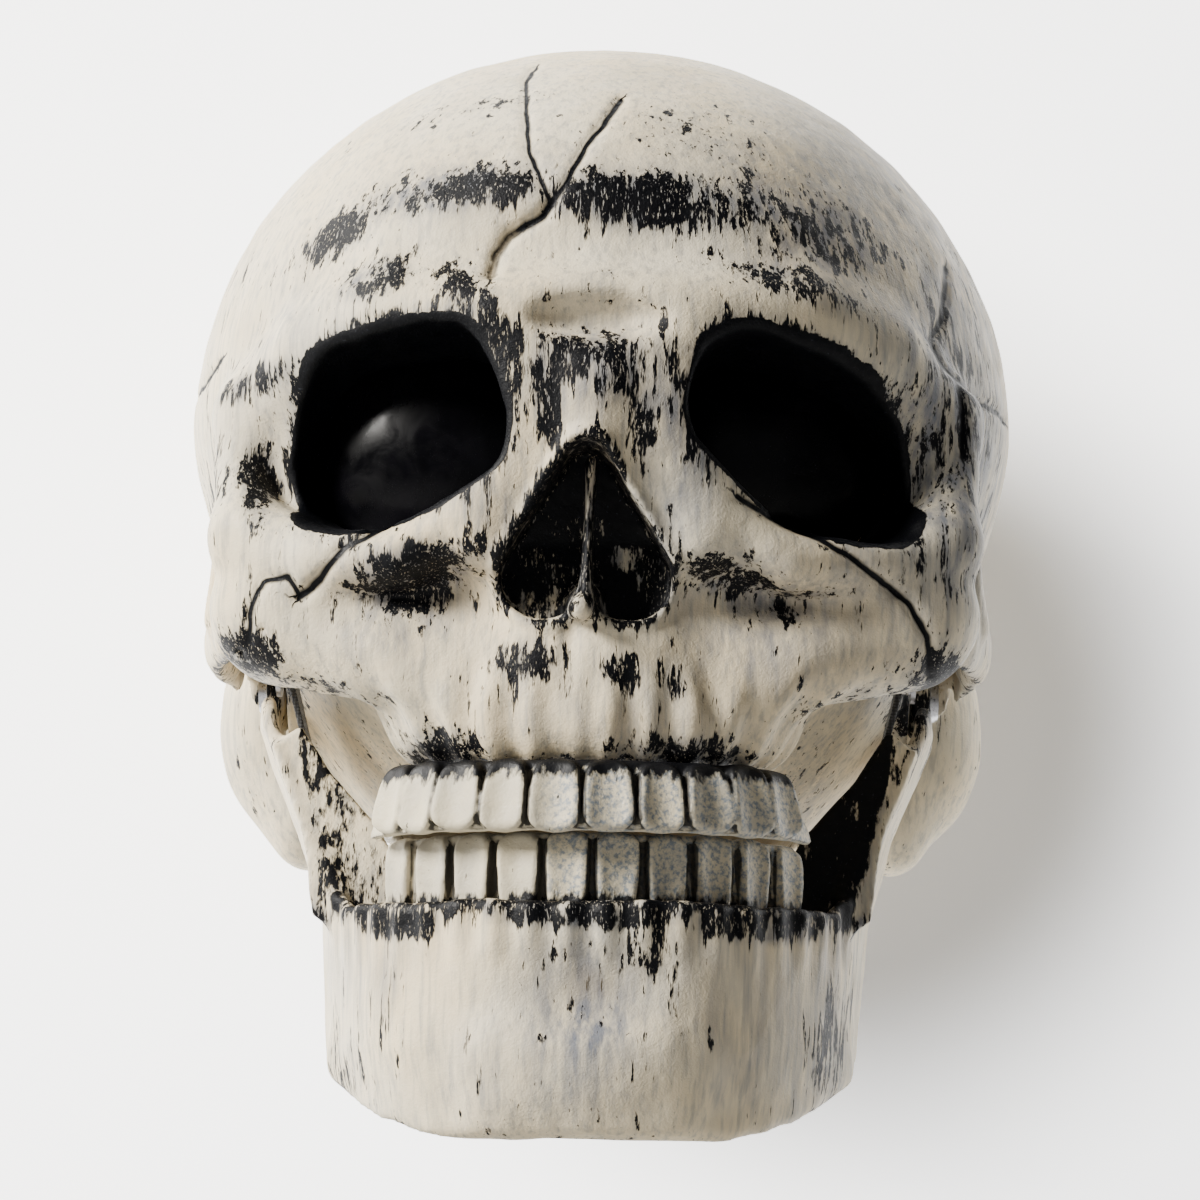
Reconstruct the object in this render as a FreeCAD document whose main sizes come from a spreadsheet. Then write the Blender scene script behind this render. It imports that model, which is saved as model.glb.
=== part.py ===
"""Full-head skull mask with a hinged lower jaw: a parametric FreeCAD document.

Millimetres, +Z up. The origin is the middle of the jaw hinge axis, which runs along X.
The face looks along -Y, so the wearer's left is +X. Pieces called left are on the +X side,
and each right piece is the mirror image of its left one.
"""
import FreeCAD
import Part
import Sketcher
import math
import os

OUT = "parts"
os.makedirs(OUT, exist_ok=True)
doc = FreeCAD.newDocument("skull_mask")

# ---------------------------------------------------------------- driving dimensions
DIMENSIONS = {
    # latex castings
    "wall": 3.5,                 # thickness of the cranium casting
    "jaw_wall": 4,               # thickness of the jaw casting
    # braincase
    "vault_half_width": 110,
    "vault_half_length": 124,
    "vault_rise": 104,           # from the widest level to the crown
    "vault_level": 70,           # height of the widest level over the hinge
    "vault_set_back": 5,         # middle of the braincase, behind the hinge
    "neck_rim": -38,             # height of the neck opening's rim
    # face
    "face_half_width": 98,
    "face_front": -110,
    "brow_level": 80,
    "cheek_floor": -4,           # lower edge of the cheekbones
    "cheek_back": -50,           # rear wall of the cheekbones
    "maxilla_half_width": 55,
    "maxilla_floor": -30,
    # eye sockets
    "orbit_half_width": 26,
    "orbit_half_height": 24,
    "orbit_apart": 48,           # from the middle plane to each socket's axis
    "orbit_level": 51,
    "orbit_rim": -100,           # depth at which the sockets are orbit_apart from the middle
    "orbit_splay": 14,           # degrees that each socket turns outwards
    "lens_radius": 31,
    "lens_curve": 52,
    "lens_thick": 1.8,
    "lens_seat": -76,
    "lens_ring_thick": 2.5,
    # nose
    "nose_half_width": 18,
    "nose_half_height": 21,
    "nose_depth": 13,
    "nose_level": 24,
    # teeth
    "bite_level": -46,           # where the two rows meet
    "bite_gap": 0.8,
    "gum_thick": 5,
    "gum_line_upper": -36,
    "gum_line_lower": -56,
    "upper_arch_half_width": 58,
    "upper_arch_front": -113,
    "upper_tooth_width": 10.8,
    "lower_tooth_width": 9,
    "tooth_depth": 6.5,
    # lower jaw
    "jaw_half_width": 68,
    "jaw_front": -110,
    "jaw_top": -62,
    "jaw_floor": -119,
    "jaw_corner": -95,           # height of the lower border at its rear corner
    "jaw_lip": 11,               # width of the rolled lower edge
    # hinge, measured along X from the middle plane
    "post_head_inside": 74,
    "hinge_plate_inside": 76,
    "hinge_wall_inside": 77.5,
    "hinge_wall_outside": 82,
    "washer_outside": 82.7,
    "branch_inside": 82.75,
    "jaw_plate_inside": 86.8,
    "branch_outside": 88.3,
    "screw_head_inside": 88.35,
    "screw_head_outside": 90.6,
    "hinge_boss_radius": 15,
    "hinge_pocket_radius": 12,
    "hinge_seat_radius": 9.5,
    "branch_radius": 10,
    "hinge_plate_radius": 9,
    "washer_radius": 8,
    "jaw_plate_radius": 7.5,
    "post_radius": 3,
    "post_head_radius": 6.5,
    "screw_radius": 1.6,
    "hinge_clearance": 0.05,
    # soft fittings
    "pad_thick": 12,
    "pad_gap": 0.3,
    "strap_height": 25,
    "strap_thick": 1.6,
    "strap_level": 78.5,
    "strap_front": -32,
    "strap_overlap": 20,         # how far each strap passes the middle plane behind
    "rivet_radius": 2,
    "rivet_head_radius": 4.5,
    "rivet_head_thick": 1.2,
    "band_width": 12,
    "band_thick": 1.6,
    "band_middle": -43.5,        # along Y
    "band_top": 4,
    "band_bottom": -72,
    "band_top_inside": 78,
    "band_bottom_inside": 58.5,
    "band_pin_inset": 6,         # from each end of the band to its pin
    "cup_half_width": 33,
    "cup_half_length": 25,
    "cup_half_height": 20,
    "cup_thick": 2,
    "cup_pad_thick": 6,
    "cup_level": -78,
    "cup_set_forward": -68,
    "chin_strap_width": 20,
    "chin_strap_half": 45.5,     # from the middle plane to each end
    "chin_rivet_reach": 55,
}
dims = doc.addObject("Spreadsheet::Sheet", "dims")
for row, (alias, value) in enumerate(DIMENSIONS.items(), start=1):
    dims.set(f"A{row}", alias)
    dims.set(f"B{row}", str(value))
    dims.setAlias(f"B{row}", alias)
doc.recompute()

PARTS = []          # the objects that are written out, in order
X_AXIS = FreeCAD.Vector(1, 0, 0)
Y_AXIS = FreeCAD.Vector(0, 1, 0)
Z_AXIS = FreeCAD.Vector(0, 0, 1)


# ---------------------------------------------------------------- helpers
def bind(item, **sizes):
    """Binds properties to expressions of the sheet; px, py and pz are the placement."""
    places = {"px": "Placement.Base.x", "py": "Placement.Base.y", "pz": "Placement.Base.z"}
    for prop, expression in sizes.items():
        item.setExpression(places.get(prop, prop), str(expression))
    return item


def make(kind, name, turn=None, **sizes):
    item = doc.addObject(kind, name)
    if turn:
        item.Placement.Rotation = FreeCAD.Rotation(*turn)
    return bind(item, **sizes)


def cut(name, base, tool):
    item = doc.addObject("Part::Cut", name)
    item.Base, item.Tool, item.Refine = base, tool, False
    return item


def fuse(name, *items):
    item = doc.addObject("Part::MultiFuse", name)
    item.Shapes, item.Refine = list(items), False
    return item


def common(name, *items):
    item = doc.addObject("Part::MultiCommon", name)
    item.Shapes, item.Refine = list(items), False
    return item


def mirror(name, source):
    item = doc.addObject("Part::Mirroring", name)
    item.Source, item.Normal = source, X_AXIS
    return item


def keep(item, label):
    item.Label = label
    PARTS.append(item)
    return item


def keep_pair(item, label):
    """The wearer's left piece, and its mirror image as the right one."""
    keep(item, label + "_left")
    return item, keep(mirror(label + "_mirror", item), label + "_right")


def box(name, x, y, z, turn=None):
    """A box between two expressions on each axis."""
    return make("Part::Box", name, turn, px=x[0], py=y[0], pz=z[0],
                Length=f"({x[1]}) - ({x[0]})", Width=f"({y[1]}) - ({y[0]})",
                Height=f"({z[1]}) - ({z[0]})")


def rod(name, radius, x, y="0", z="0"):
    """A cylinder along X between two expressions."""
    return make("Part::Cylinder", name, (Y_AXIS, 90), Radius=radius, px=x[0], py=y, pz=z,
                Height=f"({x[1]}) - ({x[0]})")


def ellipsoid(name, half_x, half_y, half_z, x, y, z):
    return make("Part::Ellipsoid", name, Radius1=half_z, Radius2=half_x, Radius3=half_y,
                px=x, py=y, pz=z)


def ellipse(name, half_x, half_y, x, y, z, long_y):
    """A level ellipse; its longer half axis is along Y where long_y is true."""
    major, minor = (half_y, half_x) if long_y else (half_x, half_y)
    return make("Part::Ellipse", name, (Z_AXIS, 90) if long_y else None,
                MajorRadius=major, MinorRadius=minor, px=x, py=y, pz=z)


def loft(name, stations, long_y, shrink="0", straight=False):
    """A solid through level ellipses (half_x, half_y, x, y, z), each taken in by shrink."""
    item = doc.addObject("Part::Loft", name)
    item.Sections = [
        ellipse(f"{name}_{i}", f"({a}) - ({shrink})", f"({b}) - ({shrink})", x, y, z, long_y)
        for i, (a, b, x, y, z) in enumerate(stations)
    ]
    item.Solid, item.Ruled = True, straight
    return item


# ---------------------------------------------------------------- cranium
VAULT = [  # from the neck rim up to the widest level
    ("0.53 * dims.vault_half_width", "0.60 * dims.vault_half_length", "0",
     "dims.vault_set_back + 17", "dims.neck_rim"),
    ("0.66 * dims.vault_half_width", "0.81 * dims.vault_half_length", "0",
     "dims.vault_set_back + 8", "-18"),
    ("0.77 * dims.vault_half_width", "0.92 * dims.vault_half_length", "0",
     "dims.vault_set_back + 3", "6"),
    ("0.94 * dims.vault_half_width", "0.98 * dims.vault_half_length", "0",
     "dims.vault_set_back", "36"),
    ("dims.vault_half_width", "dims.vault_half_length", "0",
     "dims.vault_set_back", "dims.vault_level"),
]
FACE = [  # from the cheekbones' lower edge up to the forehead
    ("0.92 * dims.face_half_width", "62", "0", "dims.face_front + 68", "dims.cheek_floor"),
    ("dims.face_half_width", "68", "0", "dims.face_front + 70", "16"),
    ("0.98 * dims.face_half_width", "74", "0", "dims.face_front + 71", "dims.brow_level - 20"),
    ("0.96 * dims.face_half_width", "79", "0", "dims.face_front + 71", "dims.brow_level"),
    ("0.88 * dims.face_half_width", "72", "0", "dims.face_front + 71", "dims.brow_level + 22"),
]
MAXILLA = [
    ("dims.maxilla_half_width", "40", "0", "dims.face_front + 40", "dims.maxilla_floor"),
    ("1.1 * dims.maxilla_half_width", "46", "0", "dims.face_front + 47", "-16"),
    ("1.35 * dims.maxilla_half_width", "50", "0", "dims.face_front + 52", "dims.cheek_floor + 6"),
]


def braincase(name, shrink):
    """The rounded upper half over the narrowing lower half."""
    dome = ellipsoid(name + "_dome", f"dims.vault_half_width - {shrink}",
                     f"dims.vault_half_length - {shrink}", f"dims.vault_rise - {shrink}",
                     "0", "dims.vault_set_back", "dims.vault_level")
    dome.Angle1 = 0
    return fuse(name, dome, loft(name + "_lower", VAULT, True, shrink))


def face_block(name, shrink):
    """Brow, sockets and cheekbones, with room behind the cheekbones for the jaw's branches."""
    whole = loft(name + "_whole", FACE, False, shrink)
    room = [box(f"{name}_room_{side}", x, (f"dims.cheek_back - {shrink}", "60"),
                ("-60", f"26 + {shrink}"))
            for side, x in (("a", (f"60 - {shrink}", "140")), ("b", ("-140", f"{shrink} - 60")))]
    return cut(name, whole, fuse(name + "_room", *room))


def mastoid(name, side, shrink):
    return ellipsoid(name, f"13 - {shrink}", f"18 - {shrink}", f"28 - {shrink}",
                     f"{side} * 78", "27", "-15")


def arch_bar(name):
    """The left cheek arch: a flat oval section swept from the cheekbone to the temple."""
    cheek, crest_front, crest_back, root = (
        FreeCAD.Vector(86, -56, 8), FreeCAD.Vector(99, -40, 9),
        FreeCAD.Vector(99, -10, 9), FreeCAD.Vector(84, 16, 10))
    route = Part.BSplineCurve()
    route.interpolate([cheek, crest_front, crest_back, root])
    start = route.value(route.FirstParameter)
    along = route.tangent(route.FirstParameter)[0]
    oval = Part.Ellipse(FreeCAD.Vector(0, 0, 0), 9, 3.4).toShape()
    across = FreeCAD.Rotation(Z_AXIS, along.cross(Z_AXIS), along, "ZXY")
    oval.Placement = FreeCAD.Placement(start, across)
    item = doc.addObject("Part::Feature", name)
    item.Shape = Part.Wire([route.toShape()]).makePipeShell([Part.Wire([oval])], True, False)
    return item


def in_socket(item):
    """Turns an item modelled about the Y axis onto the left socket's splayed axis."""
    item.Placement.Rotation = FreeCAD.Rotation(Z_AXIS, dims.orbit_splay)
    return bind(item, px="dims.orbit_apart + dims.orbit_rim * sin(dims.orbit_splay)",
                py="dims.orbit_rim * (1 - cos(dims.orbit_splay))", pz="dims.orbit_level")


def socket_loft(name, grow, front, back):
    """The left eye socket's tapered oval between two depths."""
    item = doc.addObject("Part::Loft", name)
    item.Sections = [
        make("Part::Ellipse", f"{name}_{i}", (X_AXIS, 90), py=depth,
             MajorRadius=f"dims.orbit_half_width + {grow}",
             MinorRadius=f"dims.orbit_half_height + {grow}")
        for i, depth in enumerate((front, back))
    ]
    item.Solid = True
    return in_socket(item)



def outline_body(name, plane, corners, low, high):
    """A body padded from a closed outline of (across, up) expressions between two offsets."""
    body = doc.addObject("PartDesign::Body", name)
    sketch = body.newObject("Sketcher::SketchObject", name + "_outline")
    origin_planes = {item.Role: item for item in body.Origin.OriginFeatures}
    sketch.AttachmentSupport = [(origin_planes[plane], "")]
    sketch.MapMode = "FlatFace"
    polygon(sketch, corners)
    pad = body.newObject("PartDesign::Pad", name + "_pad")
    pad.Profile = sketch
    bind(sketch, **{"AttachmentOffset.Base.z": low})
    bind(pad, Length=f"({high}) - ({low})")
    return body


def turned_body(name, profile):
    """A body revolved about the X axis from a closed profile of (along, radius) expressions."""
    body = doc.addObject("PartDesign::Body", name)
    sketch = body.newObject("Sketcher::SketchObject", name + "_profile")
    origin_planes = {item.Role: item for item in body.Origin.OriginFeatures}
    sketch.AttachmentSupport = [(origin_planes["XY_Plane"], "")]
    sketch.MapMode = "FlatFace"
    polygon(sketch, profile)
    turn = body.newObject("PartDesign::Revolution", name + "_turn")
    turn.Profile = sketch
    turn.ReferenceAxis = (sketch, ["H_Axis"])
    turn.Angle = 360
    return body


def polygon(sketch, corners):
    """Closed straight outline whose corners are held by dimensions bound to the sheet."""
    points = [FreeCAD.Vector(sheet_value(a), sheet_value(b), 0) for a, b in corners]
    count = len(points)
    for i in range(count):
        sketch.addGeometry(Part.LineSegment(points[i], points[(i + 1) % count]), False)
    for i in range(count):
        sketch.addConstraint(Sketcher.Constraint("Coincident", i, 2, (i + 1) % count, 1))
    for i, (across, up) in enumerate(corners):
        for kind, expression, value in (("DistanceX", across, points[i].x),
                                        ("DistanceY", up, points[i].y)):
            index = sketch.addConstraint(Sketcher.Constraint(kind, -1, 1, i, 1, value))
            sketch.setExpression(f"Constraints[{index}]", str(expression))


def sheet_value(expression):
    """The present value of an expression of the sheet."""
    return float(dims.evalExpression(str(expression).replace("dims.", "")))


def ring(name, half_x, half_y, y, z, thick, long_y):
    """An upright elliptical wall between two heights."""
    walls = []
    for part, shrink in (("outer", "0"), ("inner", thick)):
        base = ellipse(f"{name}_{part}_plan", f"({half_x}) - ({shrink})",
                       f"({half_y}) - ({shrink})", "0", y, z[0], long_y)
        wall = doc.addObject("Part::Extrusion", f"{name}_{part}")
        wall.Base, wall.Dir, wall.Solid = base, Z_AXIS, True
        walls.append(bind(wall, LengthFwd=f"({z[1]}) - ({z[0]})"))
    return cut(name, *walls)


def cut_each(name, base, tools):
    """Takes the tools out one after another."""
    for i, tool in enumerate(tools):
        base = cut(f"{name}_{i}", base, tool)
    return base


def group(name, *items):
    item = doc.addObject("Part::Compound", name)
    item.Links = list(items)
    return item


def in_socket_cylinder(name, radius, front, back):
    """A cylinder along the left socket's axis between two depths."""
    base = make("Part::Cylinder", name + "_rod", (X_AXIS, 90), Radius=radius,
                Height=f"({back}) - ({front})", py=back)
    return in_socket(group(name, base))


def lens_dome(name, gap):
    """The part of a sphere in front of the lens seat, inside the lens's edge."""
    middle = "dims.lens_seat + sqrt(dims.lens_curve ^ 2 - dims.lens_radius ^ 2)"
    ball = make("Part::Sphere", name + "_ball", Radius=f"dims.lens_curve - {gap}", py=middle)
    plug = make("Part::Cylinder", name + "_plug", (X_AXIS, 90), Radius="dims.lens_radius",
                Height="20", py="dims.lens_seat")
    return in_socket(group(name, common(name + "_cap", ball, plug)))


def shell_pad(name, x, y, z):
    """A foam pad that follows the inside of the braincase within a box."""
    near = "dims.wall + dims.pad_gap"
    skins = [ellipsoid(f"{name}_{part}", f"dims.vault_half_width - ({gap})",
                       f"dims.vault_half_length - ({gap})", f"dims.vault_rise - ({gap})",
                       "0", "dims.vault_set_back", "dims.vault_level")
             for part, gap in (("near", near), ("far", near + " + dims.pad_thick"))]
    return common(name, cut(name + "_layer", *skins), box(name + "_span", x, y, z))


def tooth_row(name, half_x, half_y, y, low, high, width, count, spread):
    """Rounded teeth side by side along the front of a level ellipse, spread degrees apart."""
    teeth = []
    for i in range(count):
        place = spread * (i - (count - 1) / 2)
        flat = math.radians(place)
        lie = math.degrees(math.atan2(sheet_value(half_y) * math.sin(flat),
                                      sheet_value(half_x) * math.cos(flat)))
        tooth = make("Part::Ellipsoid", f"{name}_{i}", (Z_AXIS, lie),
                     Radius1=f"(({high}) - ({low})) / 2", Radius2=f"{width} / 2",
                     Radius3="dims.tooth_depth / 2",
                     px=f"({half_x}) * sin({place})", py=f"({y}) - ({half_y}) * cos({place})",
                     pz=f"(({low}) + ({high})) / 2")
        teeth.append(tooth)
    return teeth


# ---------------------------------------------------------------- cranium casting
cranium_outside = fuse(
    "cranium_outside", braincase("braincase_outside", "0"), face_block("face_outside", "0"),
    loft("maxilla_outside", MAXILLA, False),
    ellipsoid("nasal_bridge", "13", "16", "24", "0", "dims.face_front + 6", "58"),
    mastoid("mastoid_left", "1", "0"), mastoid("mastoid_right", "-1", "0"))
cranium_inside = fuse(
    "cranium_inside", braincase("braincase_inside", "dims.wall"),
    face_block("face_inside", "dims.wall"),
    loft("maxilla_inside", MAXILLA, False, "dims.wall"),
    mastoid("mastoid_hollow_left", "1", "dims.wall"),
    mastoid("mastoid_hollow_right", "-1", "dims.wall"))
neck = make("Part::Cylinder", "neck_opening", Radius="0.53 * dims.vault_half_width - 7",
            Height="20", py="dims.vault_set_back + 17", pz="dims.neck_rim - 10")
mouth = make("Part::Cylinder", "mouth_opening", Radius="dims.maxilla_half_width - 22",
             Height="20", py="dims.face_front + 40", pz="dims.maxilla_floor - 10")
skin = cut("cranium_skin", cranium_outside,
           fuse("cranium_hollows", cranium_inside, neck, mouth))

socket_wall = common("socket_wall", cranium_outside, socket_loft(
    "socket_outside", "dims.wall", "-135", "dims.lens_seat"))
nose_wall = common("nose_wall", cranium_outside, ellipsoid(
    "nose_outside", "dims.nose_half_width + dims.wall", "dims.nose_depth + dims.wall",
    "dims.nose_half_height + dims.wall", "0", "dims.face_front", "dims.nose_level"))
boss_in = rod("hinge_boss_in", "dims.hinge_boss_radius",
              ("dims.post_head_inside - 4", "dims.hinge_wall_outside"))
boss_out = common("hinge_boss_out", cranium_outside, rod(
    "hinge_boss_long", "dims.hinge_boss_radius", ("dims.post_head_inside - 4", "94")))
side_parts = [socket_wall, arch_bar("arch_bar"), boss_in, boss_out]
side_parts += [mirror(item.Name + "_other", item) for item in side_parts]
solid_cranium = fuse("cranium_walls", skin, nose_wall, *side_parts)

UPPER_PIN = ("dims.band_middle", "dims.band_top - dims.band_pin_inset")
LOWER_PIN = ("dims.band_middle", "dims.band_bottom + dims.band_pin_inset")
side_cuts = [
    rod("band_anchor_hole", "dims.rivet_radius", ("60", "80"), *UPPER_PIN),
    socket_loft("socket_inside", "0", "-150", "dims.lens_seat + 10"),
    rod("hinge_pocket", "dims.hinge_pocket_radius", ("dims.hinge_wall_outside", "94")),
    rod("hinge_seat", "dims.hinge_seat_radius", ("60", "dims.hinge_wall_inside")),
    rod("hinge_wall_hole", "dims.post_radius", ("60", "94")),
    lens_dome("lens_bed", "0"),
]
side_cuts += [mirror(item.Name + "_other", item) for item in side_cuts]
nose_hollow = ellipsoid("nose_hollow", "dims.nose_half_width", "dims.nose_depth",
                        "dims.nose_half_height", "0", "dims.face_front", "dims.nose_level")
septum = box("septum", ("-1.5", "1.5"), ("dims.face_front + 3", "dims.face_front + 15"),
             ("dims.nose_level - 18", "dims.nose_level + 10"))
cranium = keep(cut_each("cranium_casting", solid_cranium,
                        [cut("nose_cut", nose_hollow, septum)] + side_cuts), "cranium_shell")

# ---------------------------------------------------------------- eyes
lens = cut("lens_cap", lens_dome("lens_outside", "0"), lens_dome("lens_inside", "dims.lens_thick"))
keep_pair(lens, "eye_lens")
ring_outer = in_socket_cylinder("lens_ring_outer", "dims.lens_radius", "dims.lens_seat",
                                "dims.lens_seat + dims.lens_ring_thick")
ring_inner = in_socket_cylinder("lens_ring_inner", "dims.lens_radius - 4", "dims.lens_seat - 1",
                                "dims.lens_seat + dims.lens_ring_thick + 1")
keep_pair(cut("lens_ring_whole", ring_outer, ring_inner), "lens_ring")

# ---------------------------------------------------------------- foam pads
STRAP_RIVET = ("dims.strap_front + 10", "dims.strap_level")
rivet_hole = rod("strap_rivet_hole", "dims.rivet_radius", ("60", "120"), *STRAP_RIVET)
keep(shell_pad("forehead_foam", ("-45", "45"), ("-140", "-60"), ("104", "138")), "forehead_pad")
keep(shell_pad("crown_foam", ("-42", "42"), ("-40", "50"), ("140", "180")), "crown_pad")
keep(shell_pad("nape_foam", ("-44", "44"), ("70", "140"), ("72", "112")), "nape_pad")
keep_pair(cut("temple_foam", shell_pad("temple_block", ("50", "112"), ("-42", "22"),
                                       ("70", "112")), rivet_hole), "temple_pad")

# ---------------------------------------------------------------- teeth
upper_gum = common(
    "upper_gum", ring("upper_arch", "dims.upper_arch_half_width", "43",
                      "dims.upper_arch_front + 43",
                      ("dims.gum_line_upper", "dims.maxilla_floor"), "dims.gum_thick", False),
    box("upper_arch_span", ("-80", "80"), ("-140", "-80"), ("-80", "0")))
upper_row = tooth_row("upper_tooth", "dims.upper_arch_half_width - 2.5", "40.5",
                      "dims.upper_arch_front + 43", "dims.bite_level + dims.bite_gap / 2",
                      "dims.gum_line_upper + 3", "dims.upper_tooth_width", 10, 10.8)
keep(fuse("upper_teeth_strip", upper_gum, *upper_row), "upper_teeth")

JAW = [  # from under the chin up to the hinge
    ("dims.jaw_half_width - 4", "104", "0", "dims.jaw_front + 110", "dims.jaw_floor - 7"),
    ("dims.jaw_half_width", "108", "0", "dims.jaw_front + 108", "dims.jaw_corner"),
    ("dims.jaw_half_width + 8.5", "115", "0", "dims.jaw_front + 115", "dims.jaw_top"),
    ("dims.branch_outside", "110", "0", "0", "-22"),
    ("dims.branch_outside", "110", "0", "0", "14"),
]
lower_gum = common(
    "lower_gum", ring("lower_arch", "dims.jaw_half_width + 8", "114.5", "dims.jaw_front + 115",
                      ("dims.jaw_top", "dims.gum_line_lower"), "dims.gum_thick", True),
    box("lower_arch_span", ("-80", "80"), ("-140", "-74"), ("-80", "0")))
lower_row = tooth_row("lower_tooth", "dims.jaw_half_width + 5.5", "112",
                      "dims.jaw_front + 115", "dims.gum_line_lower - 3",
                      "dims.bite_level - dims.bite_gap / 2", "dims.lower_tooth_width", 12, 7)
lower_teeth = fuse("lower_teeth_strip", lower_gum, *lower_row)

# ---------------------------------------------------------------- hinge
keep_pair(turned_body("hinge_plate_body", [
    ("dims.hinge_plate_inside", "dims.post_radius"),
    ("dims.hinge_wall_inside", "dims.post_radius"),
    ("dims.hinge_wall_inside", "dims.hinge_plate_radius"),
    ("dims.hinge_plate_inside", "dims.hinge_plate_radius")]), "hinge_plate")
keep_pair(turned_body("hinge_post_body", [
    ("dims.post_head_inside", "0"), ("dims.post_head_inside", "dims.post_head_radius"),
    ("dims.hinge_plate_inside", "dims.post_head_radius"),
    ("dims.hinge_plate_inside", "dims.post_radius"),
    ("dims.screw_head_inside", "dims.post_radius"),
    ("dims.screw_head_inside", "dims.screw_radius"),
    ("dims.hinge_wall_inside", "dims.screw_radius"),
    ("dims.hinge_wall_inside", "0")]), "hinge_post")
keep_pair(turned_body("hinge_washer_body", [
    ("dims.hinge_wall_outside", "dims.post_radius + dims.hinge_clearance"),
    ("dims.washer_outside", "dims.post_radius + dims.hinge_clearance"),
    ("dims.washer_outside", "dims.washer_radius"),
    ("dims.hinge_wall_outside", "dims.washer_radius")]), "hinge_washer")
keep_pair(turned_body("hinge_screw_body", [
    ("dims.hinge_wall_inside + 1", "0"), ("dims.hinge_wall_inside + 1", "dims.screw_radius"),
    ("dims.screw_head_inside", "dims.screw_radius"),
    ("dims.screw_head_inside", "dims.post_head_radius"),
    ("dims.screw_head_outside", "dims.post_head_radius - 1"),
    ("dims.screw_head_outside", "1.5"), ("dims.screw_head_outside - 1.4", "1.5"),
    ("dims.screw_head_outside - 1.4", "0")]), "hinge_screw")
keep_pair(turned_body("jaw_plate_body", [
    ("dims.jaw_plate_inside", "dims.post_radius + dims.hinge_clearance"),
    ("dims.branch_outside", "dims.post_radius + dims.hinge_clearance"),
    ("dims.branch_outside", "dims.jaw_plate_radius"),
    ("dims.jaw_plate_inside", "dims.jaw_plate_radius")]), "jaw_plate")

# ---------------------------------------------------------------- lower jaw casting
JAW_SIDE = [  # side outline (y, z), from the condyle down the back, along the base and back up
    ("8", "-6"), ("2", "-22"), ("-8", "-45"), ("-15", "-70"), ("-22", "dims.jaw_corner"),
    ("dims.jaw_front + 12", "dims.jaw_floor"), ("dims.jaw_front - 12", "dims.jaw_floor"),
    ("dims.jaw_front - 12", "dims.jaw_top"), ("-62", "dims.jaw_top"), ("-52", "-56"),
    ("-43", "-34"), ("-40", "-9"), ("-33", "-8"), ("-26", "-20"), ("-14", "-16"), ("-8", "-6"),
]
LIP_SIDE = [
    ("-22", "dims.jaw_corner"), ("dims.jaw_front + 12", "dims.jaw_floor"),
    ("dims.jaw_front - 12", "dims.jaw_floor"),
    ("dims.jaw_front - 12", "dims.jaw_floor + dims.jaw_wall"),
    ("dims.jaw_front + 12", "dims.jaw_floor + dims.jaw_wall"),
    ("-22", "dims.jaw_corner + dims.jaw_wall"),
]
jaw_wall = common("jaw_wall_whole",
                  cut("jaw_ring", loft("jaw_plan", JAW, True, straight=True),
                      loft("jaw_plan_inside", JAW, True, "dims.jaw_wall", True)),
                  outline_body("jaw_side", "YZ_Plane", JAW_SIDE, "-95", "95"))
jaw_lip = common("jaw_lip_whole",
                 cut("lip_ring", loft("lip_plan", JAW[:3], True, straight=True),
                     loft("lip_plan_inside", JAW[:3], True, "dims.jaw_lip", True)),
                 outline_body("lip_side", "YZ_Plane", LIP_SIDE, "-95", "95"))
condyle = rod("condyle", "dims.branch_radius", ("dims.branch_inside", "dims.branch_outside"))
jaw_cuts = [
    rod("jaw_hinge_hole", "dims.post_radius + dims.hinge_clearance", ("80", "94")),
    rod("jaw_plate_recess", "dims.jaw_plate_radius", ("dims.jaw_plate_inside", "94")),
    rod("chin_rivet_hole", "dims.rivet_radius", ("40", "dims.chin_rivet_reach"), "dims.cup_set_forward",
        "dims.cup_level + 6"),
    rod("band_pin_hole", "dims.rivet_radius", ("40", "67"), *LOWER_PIN),
]
jaw_cuts += [mirror(item.Name + "_other", item) for item in jaw_cuts]
jaw = cut_each("jaw_casting", fuse("jaw_solid", jaw_wall, jaw_lip, condyle,
                                   mirror("condyle_other", condyle)), jaw_cuts)
keep(jaw, "jaw_shell")
keep(lower_teeth, "lower_teeth")

# ---------------------------------------------------------------- head straps
def head_strap(name, side, inset):
    """One webbing strap from the temple round the back, held to a ring of the sheet's size."""
    hang = ("dims.strap_level - dims.strap_height / 2", "dims.strap_level + dims.strap_height / 2")
    spare = f"dims.wall + dims.pad_gap + dims.pad_thick + 3.5 + {inset}"
    loop = ring(name + "_loop", f"dims.vault_half_width - ({spare})",
                f"dims.vault_half_length - ({spare})", "dims.vault_set_back", hang,
                "dims.strap_thick", True)
    across = ("-dims.strap_overlap", "120") if side > 0 else ("-120", "dims.strap_overlap")
    half = common(name + "_half", loop,
                  box(name + "_span", across, ("dims.strap_front", "140"), hang))
    hole = rod(name + "_hole", "dims.rivet_radius",
               ("60", "120") if side > 0 else ("-120", "-60"), *STRAP_RIVET)
    return cut(name + "_webbing", half, hole)


def strap_rivet(name, side, inset):
    head = (f"83.5 - ({inset})", f"83.5 - ({inset}) + dims.rivet_head_thick")
    cap = rod(name + "_cap", "dims.rivet_head_radius", head, *STRAP_RIVET)
    shank = rod(name + "_shank", "dims.rivet_radius", (head[1], "102.5"), *STRAP_RIVET)
    rivet = fuse(name, cap, shank)
    return rivet if side > 0 else mirror(name + "_other", rivet)


keep(head_strap("strap_left", 1, "0"), "head_strap_left")
keep(head_strap("strap_right", -1, "dims.strap_thick + dims.pad_gap"), "head_strap_right")
keep(group("strap_rivet_set", strap_rivet("rivet_left", 1, "0"),
           strap_rivet("rivet_right", -1, "dims.strap_thick + dims.pad_gap")), "strap_rivets")

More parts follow.
